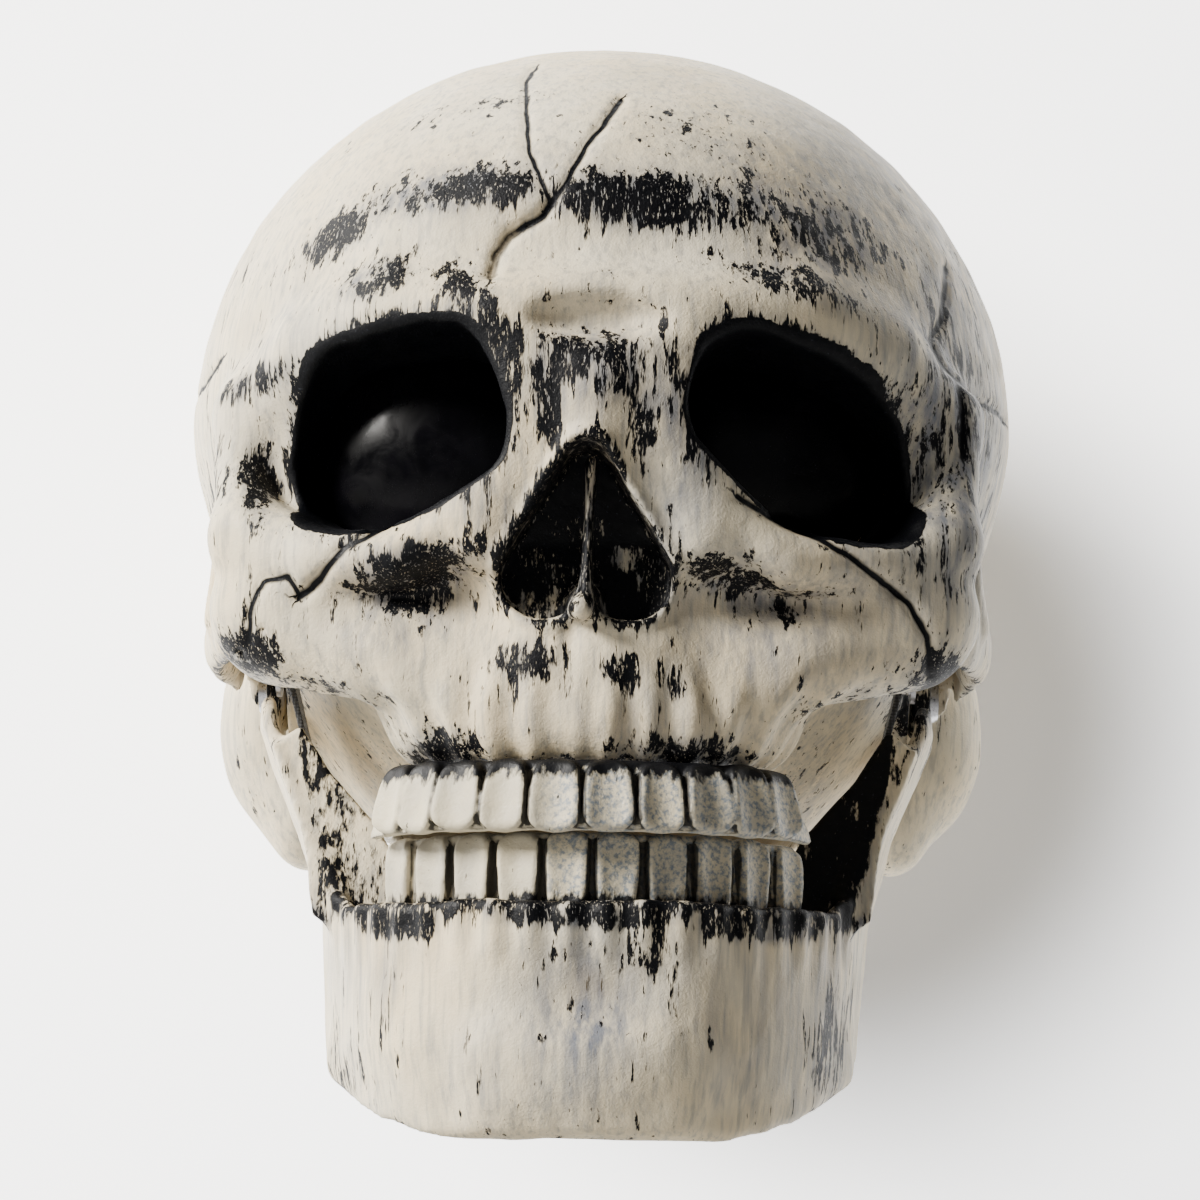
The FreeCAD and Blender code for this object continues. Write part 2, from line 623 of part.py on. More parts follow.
# ---------------------------------------------------------------- return bands
band_solid = outline_body("band_strip", "XZ_Plane", [
    ("dims.band_top_inside", "dims.band_top"),
    ("dims.band_top_inside + dims.band_thick", "dims.band_top"),
    ("dims.band_bottom_inside + dims.band_thick", "dims.band_bottom"),
    ("dims.band_bottom_inside", "dims.band_bottom")],
    "-dims.band_middle - dims.band_width / 2", "-dims.band_middle + dims.band_width / 2")
pin_room = fuse("pin_room", *[
    rod(f"pin_room_{part}", "dims.rivet_radius + dims.pad_gap", ("50", "90"), *place)
    for part, place in (("upper", UPPER_PIN), ("lower", LOWER_PIN))])
keep_pair(cut("return_band", band_solid, pin_room), "return_band")


def band_pin(name, cap, shank, place):
    return fuse(name, rod(name + "_cap", "dims.rivet_head_radius", cap, *place),
                rod(name + "_shank", "dims.rivet_radius", shank, *place))


upper_pin = band_pin("band_upper_pin", ("79.8", "81"), ("69", "79.8"), UPPER_PIN)
keep(group("band_anchor_pins", upper_pin, mirror("band_upper_pin_other", upper_pin)),
     "band_anchors")
lower_pin = band_pin("band_lower_pin", ("57", "58.2"), ("58.2", "67"), LOWER_PIN)
keep(group("jaw_band_pin_set", lower_pin, mirror("band_lower_pin_other", lower_pin)),
     "jaw_band_pins")

# ---------------------------------------------------------------- chin cup
def half_cup(name, gap):
    cup = ellipsoid(name, f"dims.cup_half_width - ({gap})", f"dims.cup_half_length - ({gap})",
                    f"dims.cup_half_height - ({gap})", "0", "dims.cup_set_forward",
                    "dims.cup_level")
    cup.Angle2 = 0
    return cup


keep(cut("chin_cup_bowl", half_cup("cup_outside", "0"), half_cup("cup_inside", "dims.cup_thick")),
     "chin_cup")
keep(cut("chin_cup_foam", half_cup("cup_pad_outside", "dims.cup_thick + dims.pad_gap"),
         half_cup("cup_pad_inside", "dims.cup_thick + dims.cup_pad_thick")), "chin_cup_pad")
chin_loops = []
for part, shrink in (("outer", "0"), ("inner", "dims.strap_thick")):
    loop = doc.addObject("Part::Extrusion", f"chin_loop_{part}")
    loop.Base = make("Part::Ellipse", f"chin_loop_{part}_plan", (X_AXIS, 90),
                     MajorRadius=f"dims.chin_strap_half - {shrink}",
                     MinorRadius=f"dims.cup_half_height + 2 - {shrink}",
                     py="dims.cup_set_forward + dims.chin_strap_width / 2", pz="dims.cup_level")
    loop.Dir, loop.Solid = -Y_AXIS, True
    chin_loops.append(bind(loop, LengthFwd="dims.chin_strap_width"))
strap_y = ("dims.cup_set_forward - dims.chin_strap_width / 2",
           "dims.cup_set_forward + dims.chin_strap_width / 2")
chin_sling = common("chin_sling", cut("chin_loop", *chin_loops),
                    box("chin_sling_span", ("-60", "60"), strap_y, ("-120", "dims.cup_level")))
tab = box("chin_tab", ("dims.chin_strap_half - dims.strap_thick", "dims.chin_strap_half"), strap_y,
          ("dims.cup_level", "dims.cup_level + 12"))
chin_holes = rod("chin_strap_holes", "dims.rivet_radius", ("-60", "60"), "dims.cup_set_forward",
                 "dims.cup_level + 6")
keep(cut("chin_webbing", fuse("chin_webbing_whole", chin_sling, tab,
                              mirror("chin_tab_other", tab)), chin_holes), "chin_strap")
chin_rivet = fuse(
    "chin_rivet",
    rod("chin_rivet_cap", "dims.rivet_head_radius",
        ("dims.chin_strap_half - dims.strap_thick - dims.rivet_head_thick",
         "dims.chin_strap_half - dims.strap_thick"),
        "dims.cup_set_forward", "dims.cup_level + 6"),
    rod("chin_rivet_shank", "dims.rivet_radius", ("dims.chin_strap_half - dims.strap_thick", "dims.chin_rivet_reach"),
        "dims.cup_set_forward", "dims.cup_level + 6"))
keep(group("chin_rivet_set", chin_rivet, mirror("chin_rivet_other", chin_rivet)), "chin_rivets")

# ---------------------------------------------------------------- checks and files
doc.recompute()
for item in doc.Objects:
    if "Invalid" in item.State or "Error" in item.State:
        raise RuntimeError(f"{item.Name} failed: {item.State}")
for item in PARTS:
    if item.Shape.isNull() or not item.Shape.isValid() or item.Shape.Volume <= 0:
        raise RuntimeError(f"{item.Label} has no valid solid")
for item in PARTS:
    item.Shape.exportStep(os.path.join(OUT, item.Label + ".step"))
    extent = item.Shape.optimalBoundingBox(False)
    print(f"{item.Label:20s} {item.Shape.Volume / 1000:8.2f} cm3 {len(item.Shape.Solids)} solids"
          f"  x {extent.XMin:.1f} {extent.XMax:.1f}  y {extent.YMin:.1f} {extent.YMax:.1f}"
          f"  z {extent.ZMin:.1f} {extent.ZMax:.1f}")
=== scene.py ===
"""Latex halloween mask: a full-head skull with a hinged jaw, sculpted around its CAD frame.

The castings are signed distance fields, written in millimetres in the row frame (+Z up, the face
towards -Y, the jaw hinge along X through the origin), and meshed on a voxel grid.
"""
import math

import bmesh
import bpy
import numpy as np
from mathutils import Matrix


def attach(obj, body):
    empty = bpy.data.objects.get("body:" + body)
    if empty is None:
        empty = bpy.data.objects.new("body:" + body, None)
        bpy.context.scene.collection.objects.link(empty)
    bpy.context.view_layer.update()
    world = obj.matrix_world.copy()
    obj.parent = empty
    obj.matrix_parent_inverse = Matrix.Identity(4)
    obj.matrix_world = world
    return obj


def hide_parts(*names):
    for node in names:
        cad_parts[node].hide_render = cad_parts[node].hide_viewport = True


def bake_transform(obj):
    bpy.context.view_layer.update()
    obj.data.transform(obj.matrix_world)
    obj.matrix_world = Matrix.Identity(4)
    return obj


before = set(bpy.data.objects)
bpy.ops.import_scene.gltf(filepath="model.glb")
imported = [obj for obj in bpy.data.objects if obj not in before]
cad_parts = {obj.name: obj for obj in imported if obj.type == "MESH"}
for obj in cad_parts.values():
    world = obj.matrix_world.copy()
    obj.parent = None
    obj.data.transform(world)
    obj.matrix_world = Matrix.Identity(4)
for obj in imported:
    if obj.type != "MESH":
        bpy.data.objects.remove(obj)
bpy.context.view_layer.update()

import openvdb
from mathutils import Quaternion, Vector

MM = 0.001               # every shape below is in millimetres
SKULL, JAW = "skull", "jaw"


# ======== distance fields
def vec(*values):
    return np.array(values, np.float32)


def ellipsoid(p, centre, radii):
    q = (p - vec(*centre)) / vec(*radii)
    near = np.sqrt((q * q).sum(1))
    slope = np.sqrt(((q / vec(*radii)) ** 2).sum(1))
    return near * (near - 1) / np.maximum(slope, 1e-6)


def oval(u, v, wide, long):
    """Distance to an upright oval tube from its middle, positive outside."""
    u, v = u / wide, v / long
    near = np.sqrt(u * u + v * v)
    slope = np.sqrt((u / wide) ** 2 + (v / long) ** 2)
    return near * (near - 1) / np.maximum(slope, 1e-6)


def rod(p, start, end, radius, end_radius=None):
    """A round-ended rod that may taper."""
    a, b = vec(*start), vec(*end)
    span = b - a
    along = np.clip(((p - a) @ span) / float(span @ span), 0, 1)
    away = np.sqrt(((p - a - along[:, None] * span) ** 2).sum(1))
    taper = (radius if end_radius is None else end_radius) - radius
    return away - radius - along * taper


def bar(p, points, radii):
    """A bent rod through several points, one radius for each."""
    field = None
    for i in range(len(points) - 1):
        piece = rod(p, points[i], points[i + 1], radii[i], radii[i + 1])
        field = piece if field is None else np.minimum(field, piece)
    return field


def disc(p, low, high, radius, y=0.0, z=0.0):
    """A cylinder along X between two offsets."""
    across = np.abs(p[:, 0] - (low + high) / 2) - (high - low) / 2
    around = np.hypot(p[:, 1] - y, p[:, 2] - z) - radius
    return np.maximum(across, around)


def join(a, b, soft):
    """Smooth union."""
    mix = np.clip(0.5 + 0.5 * (b - a) / soft, 0, 1)
    return b * (1 - mix) + a * mix - soft * mix * (1 - mix)


def carve(a, b, soft):
    """Takes b out of a with a rounded edge."""
    return -join(-a, b, soft)


def sides(u, v, corners, soft):
    """A rounded outline from its straight sides: (point across, point up, outward heading)."""
    field = None
    for across, up, heading in corners:
        turn = math.radians(heading)
        side = (u - across) * math.cos(turn) + (v - up) * math.sin(turn)
        field = side if field is None else -join(-field, -side, soft)
    return field


def polygon(u, v, corners):
    """Exact distance to a closed polygon, negative inside."""
    near = np.full(u.shape, 1e9, np.float32)
    inside = np.zeros(u.shape, bool)
    for i, (ax, ay) in enumerate(corners):
        bx, by = corners[i - 1]
        ex, ey = bx - ax, by - ay
        along = np.clip(((u - ax) * ex + (v - ay) * ey) / (ex * ex + ey * ey), 0, 1)
        near = np.minimum(near, (u - ax - along * ex) ** 2 + (v - ay - along * ey) ** 2)
        if ay != by:
            crosses = ((v < ay) != (v < by)) & (u < ex * (v - ay) / (by - ay) + ax)
            inside ^= crosses
    return np.sqrt(near) * np.where(inside, -1, 1)


LATTICE = 24


def lumps(p, size, seed):
    """Smooth noise between -1 and 1 whose bumps are about size millimetres across."""
    table = np.random.default_rng(seed).uniform(-1, 1, (LATTICE,) * 3).astype(np.float32)
    q = p / size + 1000
    cell = np.floor(q).astype(np.int32)
    part = q - cell
    part = part * part * (3 - 2 * part)
    total = np.zeros(len(p), np.float32)
    for corner in range(8):
        step = ((corner >> 2) & 1, (corner >> 1) & 1, corner & 1)
        weight = np.ones(len(p), np.float32)
        for axis in range(3):
            weight *= part[:, axis] if step[axis] else 1 - part[:, axis]
        i, j, k = ((cell + vec(*step).astype(np.int32)) % LATTICE).T
        total += weight * table[i, j, k]
    return total


def mirrored(p):
    """The same points on the wearer's left."""
    q = p.copy()
    q[:, 0] = np.abs(q[:, 0])
    return q


# ======== cranium
WALL = 3.5
VAULT_CENTRE, VAULT_RADII = (0, 5, 70), (110, 124, 104)
NECK_RIM, MAXILLA_FLOOR = -38.0, -30.0
SOCKET_LEVEL, SOCKET_APART, SOCKET_RIM, SOCKET_SPLAY = 51.0, 48.0, -100.0, 14.0
LENS_SEAT, LENS_CURVE, LENS_RADIUS = -76.0, 52.0, 31.0
LENS_PLAY, WINDOW_LIP, WINDOW_BACK = 0.3, 1.5, 60
GLUE_DEPTH, GLUE_HALF = 1.5, 1.8       # the groove that holds each lens's edge

FACE_BARS = [  # (points on the wearer's left, radii, softness of the join)
    ([(0, -107, 79), (24, -105, 80), (48, -98, 80), (70, -85, 73), (86, -68, 60)],
     [9, 9, 9, 8.5, 8], 11),                                          # brow
    ([(86, -69, 62), (88, -74, 46), (85, -80, 30)], [8, 6.5, 8], 7),  # outer socket rim
    ([(85, -80, 27), (66, -92, 21), (46, -101, 20), (30, -105, 29)], [8, 8, 7, 6], 8),
    ([(13, -107, 68), (20, -107, 46), (25, -105, 24)], [7, 6, 7], 7),  # beside the nose
    ([(0, -107, 72), (0, -111, 60), (0, -113.5, 47)], [9, 8, 6], 6),   # nasal bones
    ([(36, -92, -6), (56, -86, 0), (76, -76, 6)], [13, 12, 12], 9),    # root of the cheekbone
    ([(91, -64, 60), (92, -62, 34), (95, -52, 12)], [3.5, 3.5, 4], 5),  # flange of the cheekbone
    ([(0, -99, -20), (22, -96, -20), (36, -86, -19), (41, -72, -17)], [11, 10.5, 9, 8], 8),
]
ARCH = ([(78, -76, 12), (92, -58, 10), (98, -34, 9), (98, -12, 9), (94, 8, 8), (86, 22, 6)],
        [4.5, 3.8, 3.6, 3.6, 3.8, 4.5])
ARCH_SQUEEZE = 0.42
SOCKET_GROWTH = 0.11     # how much the socket widens for each millimetre towards its rim
# (across, up, outward heading) of each side about the socket's axis, across being outwards
SOCKETS = {
    -1: [(2, 21.5, 84), (23, 12.5, 32), (31, -8, 0), (25, -20, -45), (9, -24, -93),
         (-12, -19, -121), (-29, 3, 174), (-24, 17.5, 142)],
    1: [(0, 18.5, 76), (23, 10.5, 44), (34, -8, 4), (31, -21, -38), (11, -24.5, -96),
        (-12, -15, -130), (-27.5, 5, 178), (-20.5, 20, 125)],
}


def vault(p):
    """The braincase: half an ellipsoid over a narrowing neck that goes on below the rim."""
    x, y, z = p.T
    drop = np.clip((VAULT_CENTRE[2] - z) / 108, 0, 1.25)
    wide = 110 * (1 - 0.47 * drop ** 1.65)
    long = 124 * (1 - 0.40 * drop ** 2.6)
    lower = oval(x, y - 5 - 17 * drop ** 2.5, wide, long)
    return np.where(z > VAULT_CENTRE[2], ellipsoid(p, VAULT_CENTRE, VAULT_RADII), lower)


def face(p, q, field):
    """Adds the brow, socket rims, cheekbones, nose and upper jaw to the braincase."""
    field = join(field, ellipsoid(q, (0, -70, -6), (52, 39, 32)), 8)          # upper jaw
    field = join(field, ellipsoid(q, (72, -77, 11), (22, 17, 17)), 9)         # cheekbone
    for points, radii, soft in FACE_BARS:
        field = join(field, bar(q, points, radii), soft)
    field = join(field, ellipsoid(p, (1, -112, 60), (10.5, 9, 10)), 2)        # nasal knob
    field = carve(field, ellipsoid(p, (1, -119, 75), (16, 6, 5)), 5)
    field = carve(field, ellipsoid(q, (37, -110, 0), (12, 7, 12)), 9)         # beside the nose
    field = carve(field, rod(p, (-60, -118, 96), (62, -118, 98), 7), 14)      # above the brow
    return join(field, ellipsoid(q, (87, 39, -4), (19.5, 22, 31)), 8)         # behind the hinge


def socket_axes(q):
    """Across, up and depth of each point about the left socket's splayed axis."""
    turn = math.radians(SOCKET_SPLAY)
    x = q[:, 0] - SOCKET_APART - SOCKET_RIM * math.sin(turn)
    y = q[:, 1] - SOCKET_RIM * (1 - math.cos(turn))
    return (x * math.cos(turn) + y * math.sin(turn), q[:, 2] - SOCKET_LEVEL,
            y * math.cos(turn) - x * math.sin(turn))


def socket(p, q):
    """The socket's tapered bore, with a hand-cut edge."""
    u, v, depth = socket_axes(q)
    ragged = 0.5 * lumps(p, 9, 11) + 0.35 * lumps(p, 4, 12)
    bore = np.where(p[:, 0] < 0, sides(u, v, SOCKETS[-1], 7), sides(u, v, SOCKETS[1], 7))
    return (bore + ragged + SOCKET_GROWTH * (depth - SOCKET_RIM)).astype(np.float32), depth


def nose_outline(p):
    """The heart-shaped edge of the nose, as seen from the front."""
    flat = p * vec(1, 0, 1) + vec(1.5, 0, 0)
    heart = rod(mirrored(flat), (0, 0, 40), (9.6, 0, 15), 5.5, 10.5)
    return heart + 0.35 * lumps(p, 5, 13)


BOSS_INNER, BOSS_FACE, BOSS_RADIUS = 70, 82, 15
POCKET_RADIUS, SEAT_FACE, SEAT_RADIUS, POST_HOLE = 12, 77.5, 9.5, 3
HINGE_INSIDE, HINGE_OUTSIDE = 55, 96


def hinge_seat(q, field):
    """The boss, washer pocket, inner seat and post hole at the hinge."""
    boss = disc(q, BOSS_INNER, BOSS_FACE, BOSS_RADIUS)
    boss = np.minimum(boss, np.maximum(disc(q, BOSS_INNER, 94, BOSS_RADIUS), field))
    field = join(field, boss, 1.5)
    field = np.maximum(field, -disc(q, BOSS_FACE, HINGE_OUTSIDE, POCKET_RADIUS))
    field = np.maximum(field, -disc(q, HINGE_INSIDE, SEAT_FACE, SEAT_RADIUS))
    return np.maximum(field, -disc(q, HINGE_INSIDE, HINGE_OUTSIDE, POST_HOLE))


def cranium_form(p, outside):
    """The solid form of the skull; outside closes it at the neck rim and adds the fine relief."""
    q = mirrored(p)
    base = vault(p)
    if outside:
        base = np.maximum(base, NECK_RIM - p[:, 2])
    field = face(p, q, base)
    if outside:
        floor = np.where(q[:, 1] < -52, MAXILLA_FLOOR - p[:, 2], -1e3).astype(np.float32)
        field = -join(-field, -floor, 2)
    squeezed = q * vec(1, 1, ARCH_SQUEEZE)
    points = [(x, y, z * ARCH_SQUEEZE) for x, y, z in ARCH[0]]
    field = join(field, bar(squeezed, points, ARCH[1]), 3)
    field = join(field, ellipsoid(q, (81, 35, -20), (13.5, 17, 25)), 6)
    bore, depth = socket(p, q)
    nose = nose_outline(p)
    if outside:
        front = np.where(p[:, 1] < -80, nose - 0.8, 50).astype(np.float32)
        field = join(field, np.hypot(front, field) - 1.6, 2)
    recess = np.maximum(bore, depth - LENS_SEAT)
    field = carve(field, recess, 2)
    back = -98 - 0.18 * np.abs(p[:, 2] - 24)
    field = carve(field, np.maximum(nose, p[:, 1] - back), 1.5)
    spine = rod(p, (-1.5, -98, 10), (-2.5, -113, 6), 5, 2.4)
    septum = rod(p * vec(1, 0.35, 1), (-1.5, -37.2, 8), (-0.5, -37.8, 42), 1.9, 1.4)
    return join(join(field, spine, 2), septum, 2), bore, depth, q


def cranium_field(p):
    form, bore, _, q = cranium_form(p, True)
    hollow = cranium_form(p, False)[0] + WALL
    front = np.clip((-20 - p[:, 1]) / 40, 0, 1)
    form = form + 0.45 * lumps(p, 22, 1) + 0.22 * lumps(p, 7, 2)
    form = form + flutes(p) * front
    form = form + cracks_depth(p)
    field = np.maximum(form, -hollow)
    u, v, depth = socket_axes(q)
    window = np.maximum(bore, np.hypot(u, v) - LENS_RADIUS + WINDOW_LIP)
    field = np.maximum(field, -np.maximum(window, depth + WINDOW_BACK))
    lens_middle = LENS_SEAT + math.sqrt(LENS_CURVE ** 2 - LENS_RADIUS ** 2)
    ball = np.sqrt(u * u + v * v + (depth - lens_middle) ** 2) - LENS_CURVE
    behind = np.maximum(np.hypot(u, v) - LENS_RADIUS - LENS_PLAY, LENS_SEAT - 14 - depth)
    field = np.maximum(field, -np.maximum(np.maximum(ball, behind), depth - LENS_SEAT))
    groove = np.abs(depth - LENS_SEAT - GLUE_DEPTH) - GLUE_HALF
    field = np.maximum(field, -np.maximum(behind, groove))
    return hinge_seat(q, field)


def flutes(p):
    """Root ridges over the upper teeth."""
    swing = np.arctan2(p[:, 0], -(p[:, 1] + 62)) * 55
    ridge = np.cos(2 * math.pi * (swing + 5.4) / 10.8)
    band = np.clip((-2 - p[:, 2]) / 14, 0, 1)
    groove = np.exp(-((p[:, 0] + 5) / 2.2) ** 2) * np.clip((6 - p[:, 2]) / 6, 0, 1)
    return (1.2 * groove - 0.7 * ridge * band) * (p[:, 1] < -70)


# ======== cracks
# ((x, z) points seen from the front, width, depth)
CRACKS = [
    ([(-17, 152), (-19, 146), (-18, 132), (-17, 120), (-14, 112), (-11, 105)], 0.9, 0.8),
    ([(5, 137), (2, 130), (-3, 121), (-7, 111), (-11, 105)], 1.1, 1.1),
    ([(-11, 105), (-13, 102), (-21, 97), (-24, 92), (-25, 86)], 1.5, 1.8),
    ([(-49, 28), (-54, 24), (-59, 22), (-65, 15), (-70, 11)], 1.3, 1.4),
    ([(-70, 11), (-73, 16), (-79, 15), (-82, 9), (-83, 1)], 1.0, 0.9),
    ([(34, 34), (43, 29), (52, 26), (64, 19), (75, 12), (80, 4), (81, -4)], 1.2, 1.3),
    ([(88, 104), (86, 88), (82, 80), (85, 73), (92, 69), (106, 71)], 1.2, 1.2),
    ([(89, 70), (90, 60), (90, 50)], 1.1, 1.1),
    ([(-108, 76), (-103, 76), (-97, 79)], 1.1, 1.0),
]


def crack_distance(p, points):
    """Signed distance to a crack as seen from the front."""
    x, z = p[:, 0], p[:, 2]
    best = np.full(len(p), 1e6, np.float32)
    signed = np.full(len(p), 1e3, np.float32)
    for (ax, az), (bx, bz) in zip(points, points[1:]):
        ex, ez = bx - ax, bz - az
        span = ex * ex + ez * ez
        along = np.clip(((x - ax) * ex + (z - az) * ez) / span, 0, 1)
        away = (x - ax - along * ex) ** 2 + (z - az - along * ez) ** 2
        side = np.sign((x - ax) * ez - (z - az) * ex)
        nearer = away < best
        best = np.where(nearer, away, best)
        signed = np.where(nearer, side * np.sqrt(away), signed)
    return signed


def cracks_depth(p):
    total = np.zeros(len(p), np.float32)
    for points, width, depth in CRACKS:
        away = np.abs(crack_distance(p, points)) + 0.25 * lumps(p, 3, 41)
        total = np.maximum(total, depth * np.exp(-(away / width) ** 2) * (p[:, 1] < 0))
    return total


# ======== lower jaw
JAW_WALL = 4.0
JAW_PLAN = [  # height, half width, half length and middle of the bow
    (-126, 64, 104, -1), (-95, 68, 108, -2), (-62, 71, 114, 4), (-40, 77.5, 112, 2),
    (-14, 88.3, 110, 0), (14, 88.3, 110, 0)]
JAW_SQUARENESS = 2.5
EYE_SIDES, EYE_RADIUS, EYE_HOLE = (82.9, 88.2), 10, 3.2      # the jaw's eye round each hinge post
SCREW_SEAT, SCREW_POCKET = 86.8, 7.6
JAW_SIDE = [
    (9, -4), (5, -22), (-5, -48), (-11, -72), (-18, -92), (-26, -97), (-60, -104), (-98, -114.5),
    (-122, -114.5), (-122, -62), (-70, -62), (-60, -57), (-53, -40), (-48, -22), (-44, -10),
    (-39, -7), (-31, -12), (-24, -20), (-15, -19), (-9, -5)]
RAMUS_FLANGE = [  # the front of the ramus that turns inwards to the tooth row: across, up
    (80, -20), (71, -42), (68, -62), (60, -67), (45, -67), (46, -54), (54, -41), (66, -28),
    (74, -16)]


def jaw_bow(p):
    heights = [row[0] for row in JAW_PLAN]
    wide, long, middle = (np.interp(p[:, 2], heights, [row[i] for row in JAW_PLAN]).astype(np.float32)
                          for i in (1, 2, 3))
    n = JAW_SQUARENESS
    u, v = np.abs(p[:, 0]) / wide, np.abs(p[:, 1] - middle) / long
    near = np.maximum(u ** n + v ** n, 1e-6) ** (1 / n)
    slope = np.hypot(u ** (n - 1) / wide, v ** (n - 1) / long) / near ** (n - 1)
    return (near - 1) / np.maximum(slope, 2e-3)


def jaw_field(p):
    q = mirrored(p)
    bow = jaw_bow(p)
    outer = join(bow, ellipsoid(q, (0, -101, -100), (27, 10, 13)), 9)
    outer = join(outer, rod(q, (20, -98, -109), (58, -52, -98), 6, 5), 7)
    outer = carve(outer, ellipsoid(q, (0, -115, -80), (26, 6, 9)), 8)
    swing = np.arctan2(p[:, 0], -(p[:, 1] + 50)) * 60
    band = np.clip((p[:, 2] + 80) / 16, 0, 1) * (p[:, 1] < -62)
    outer = outer - 0.7 * np.cos(2 * math.pi * (swing + 4.4) / 8.8) * band
    outer = outer + 0.45 * lumps(p, 18, 21) + 0.25 * lumps(p, 6, 22)
    wall = np.maximum(outer, -(bow + JAW_WALL))
    outline = polygon(p[:, 1], p[:, 2], JAW_SIDE) - 1.0 + 0.6 * lumps(p, 8, 23)
    field = -join(-wall, -outline, 2.5)
    lip = np.maximum(np.maximum(bow + 1.5, -(bow + 11)), outline)
    base = np.interp(p[:, 1], [-98, -60, -26, -18], [-114.5, -104, -97, -92]).astype(np.float32)
    lip = np.maximum(lip, p[:, 2] - base - 3.5)
    field = join(field, np.maximum(lip, p[:, 1] + 20), 1.5)
    slant = (p[:, 1] + 54 - 0.2 * (p[:, 2] + 40)) * 0.98
    flange = polygon(q[:, 0], p[:, 2], RAMUS_FLANGE) - 0.8 + 0.5 * lumps(p, 7, 24)
    field = join(field, np.maximum(np.abs(slant) - 1.6, flange), 3)
    field = join(field, disc(q, *EYE_SIDES, EYE_RADIUS), 1)
    field = np.maximum(field, -disc(q, SCREW_SEAT, HINGE_OUTSIDE, SCREW_POCKET))
    return np.maximum(field, -disc(q, 78, HINGE_OUTSIDE, EYE_HOLE))


# ======== teeth
UPPER_ROW = {"wide": 53.0, "long": 42.5, "middle": -70.0, "edge": -46.2, "gum": -28.0, "count": 10,
             "step": 13.2, "shift": -0.12, "width": 12.6, "depth": 7.4, "end": -77.0, "lean": 4.5,
             "ledge": 0.0, "seed": 31, "tall": [1, 1, .95, .97, .9, .86]}
LOWER_ROW = {"wide": 66.0, "long": 109.5, "middle": 5.0, "edge": -44.4, "gum": -65.0, "count": 10,
             "step": 9.5, "shift": 0.1, "width": 11.4, "depth": 7.2, "end": -70.0, "lean": 0.5,
             "ledge": 3.2, "seed": 32, "tall": [1, .97, 1, .96, .92, .88]}


def row_places(row):
    """Place and heading of each tooth along the bow of its row."""
    for i in range(row["count"]):
        middle = (row["count"] - 1) / 2
        swing = math.radians(row["step"] * (i - middle + row["shift"]))
        place = (row["wide"] * math.sin(swing), row["middle"] - row["long"] * math.cos(swing))
        turn = math.atan2(row["long"] * math.sin(swing), row["wide"] * math.cos(swing))
        yield row["tall"][int(abs(i - middle))], place, turn


def bow_distance(p, row):
    """Signed distance outwards from the bow that the row follows."""
    return oval(p[:, 0], p[:, 1] - row["middle"], row["wide"], row["long"])


def tooth(p, place, turn, width, edge, root, depth, lean):
    """A broad front tooth: a flat face with rounded edges that narrows into the gum."""
    c, s = math.cos(turn), math.sin(turn)
    x = (p[:, 0] - place[0]) * c + (p[:, 1] - place[1]) * s
    rise = np.clip((p[:, 2] - edge) / (root - edge), -0.2, 1.2)
    y = (p[:, 1] - place[1]) * c - (p[:, 0] - place[0]) * s - lean * rise
    half = width / 2 * (1 - 0.26 * rise ** 2 - 0.12 * np.abs(1 - rise) ** 5)
    thick = depth / 2 * (0.72 + 0.5 * rise - 0.25 * rise ** 3)
    soft = 1.9
    tall = abs(root - edge) / 2
    far = [np.maximum(value, 0) for value in (
        np.abs(x) - half + soft, np.abs(y + 0.06 * x * x) - thick + soft,
        np.abs(p[:, 2] - (edge + root) / 2) - tall + soft + 0.05 * x * x)]
    return np.sqrt(far[0] ** 2 + far[1] ** 2 + far[2] ** 2) - soft


def teeth_field(row):
    """A thin strip that tapers to a point at each end, with the teeth raised on it."""
    edge, gum = row["edge"], row["gum"]
    sign = 1 if gum > edge else -1

    def field_of(p):
        rng = np.random.default_rng(row["seed"])
        rise = (p[:, 2] - edge) / (gum - edge)
        ledge = row["ledge"] * np.clip((rise - 0.8) / 0.12, 0, 1)
        strip = np.abs(bow_distance(p, row) + row["lean"] * rise - ledge / 2) - 1.5 - ledge / 2
        end = np.clip((row["end"] - p[:, 1]) / 14, 0, 1)
        reach = np.maximum(rise - (0.25 + 0.72 * end), -rise + 0.04) * abs(gum - edge)
        field = -join(-strip, -reach, 1.5)
        field = np.maximum(field, p[:, 1] - row["end"])
        for tall, place, turn in row_places(row):
            low = edge + sign * (rng.uniform(0, 0.7) + 5 * (1 - tall))
            root = gum - sign * rng.uniform(0, 1.2)
            form = tooth(p, place, turn + rng.uniform(-0.06, 0.06),
                         row["width"] * rng.uniform(0.93, 1.04), low, root, row["depth"],
                         row["lean"])
            field = join(field, form, 0.6)
        return field + 0.14 * lumps(p, 5, row["seed"]) + 0.07 * lumps(p, 1.6, row["seed"] + 5)
    return field_of


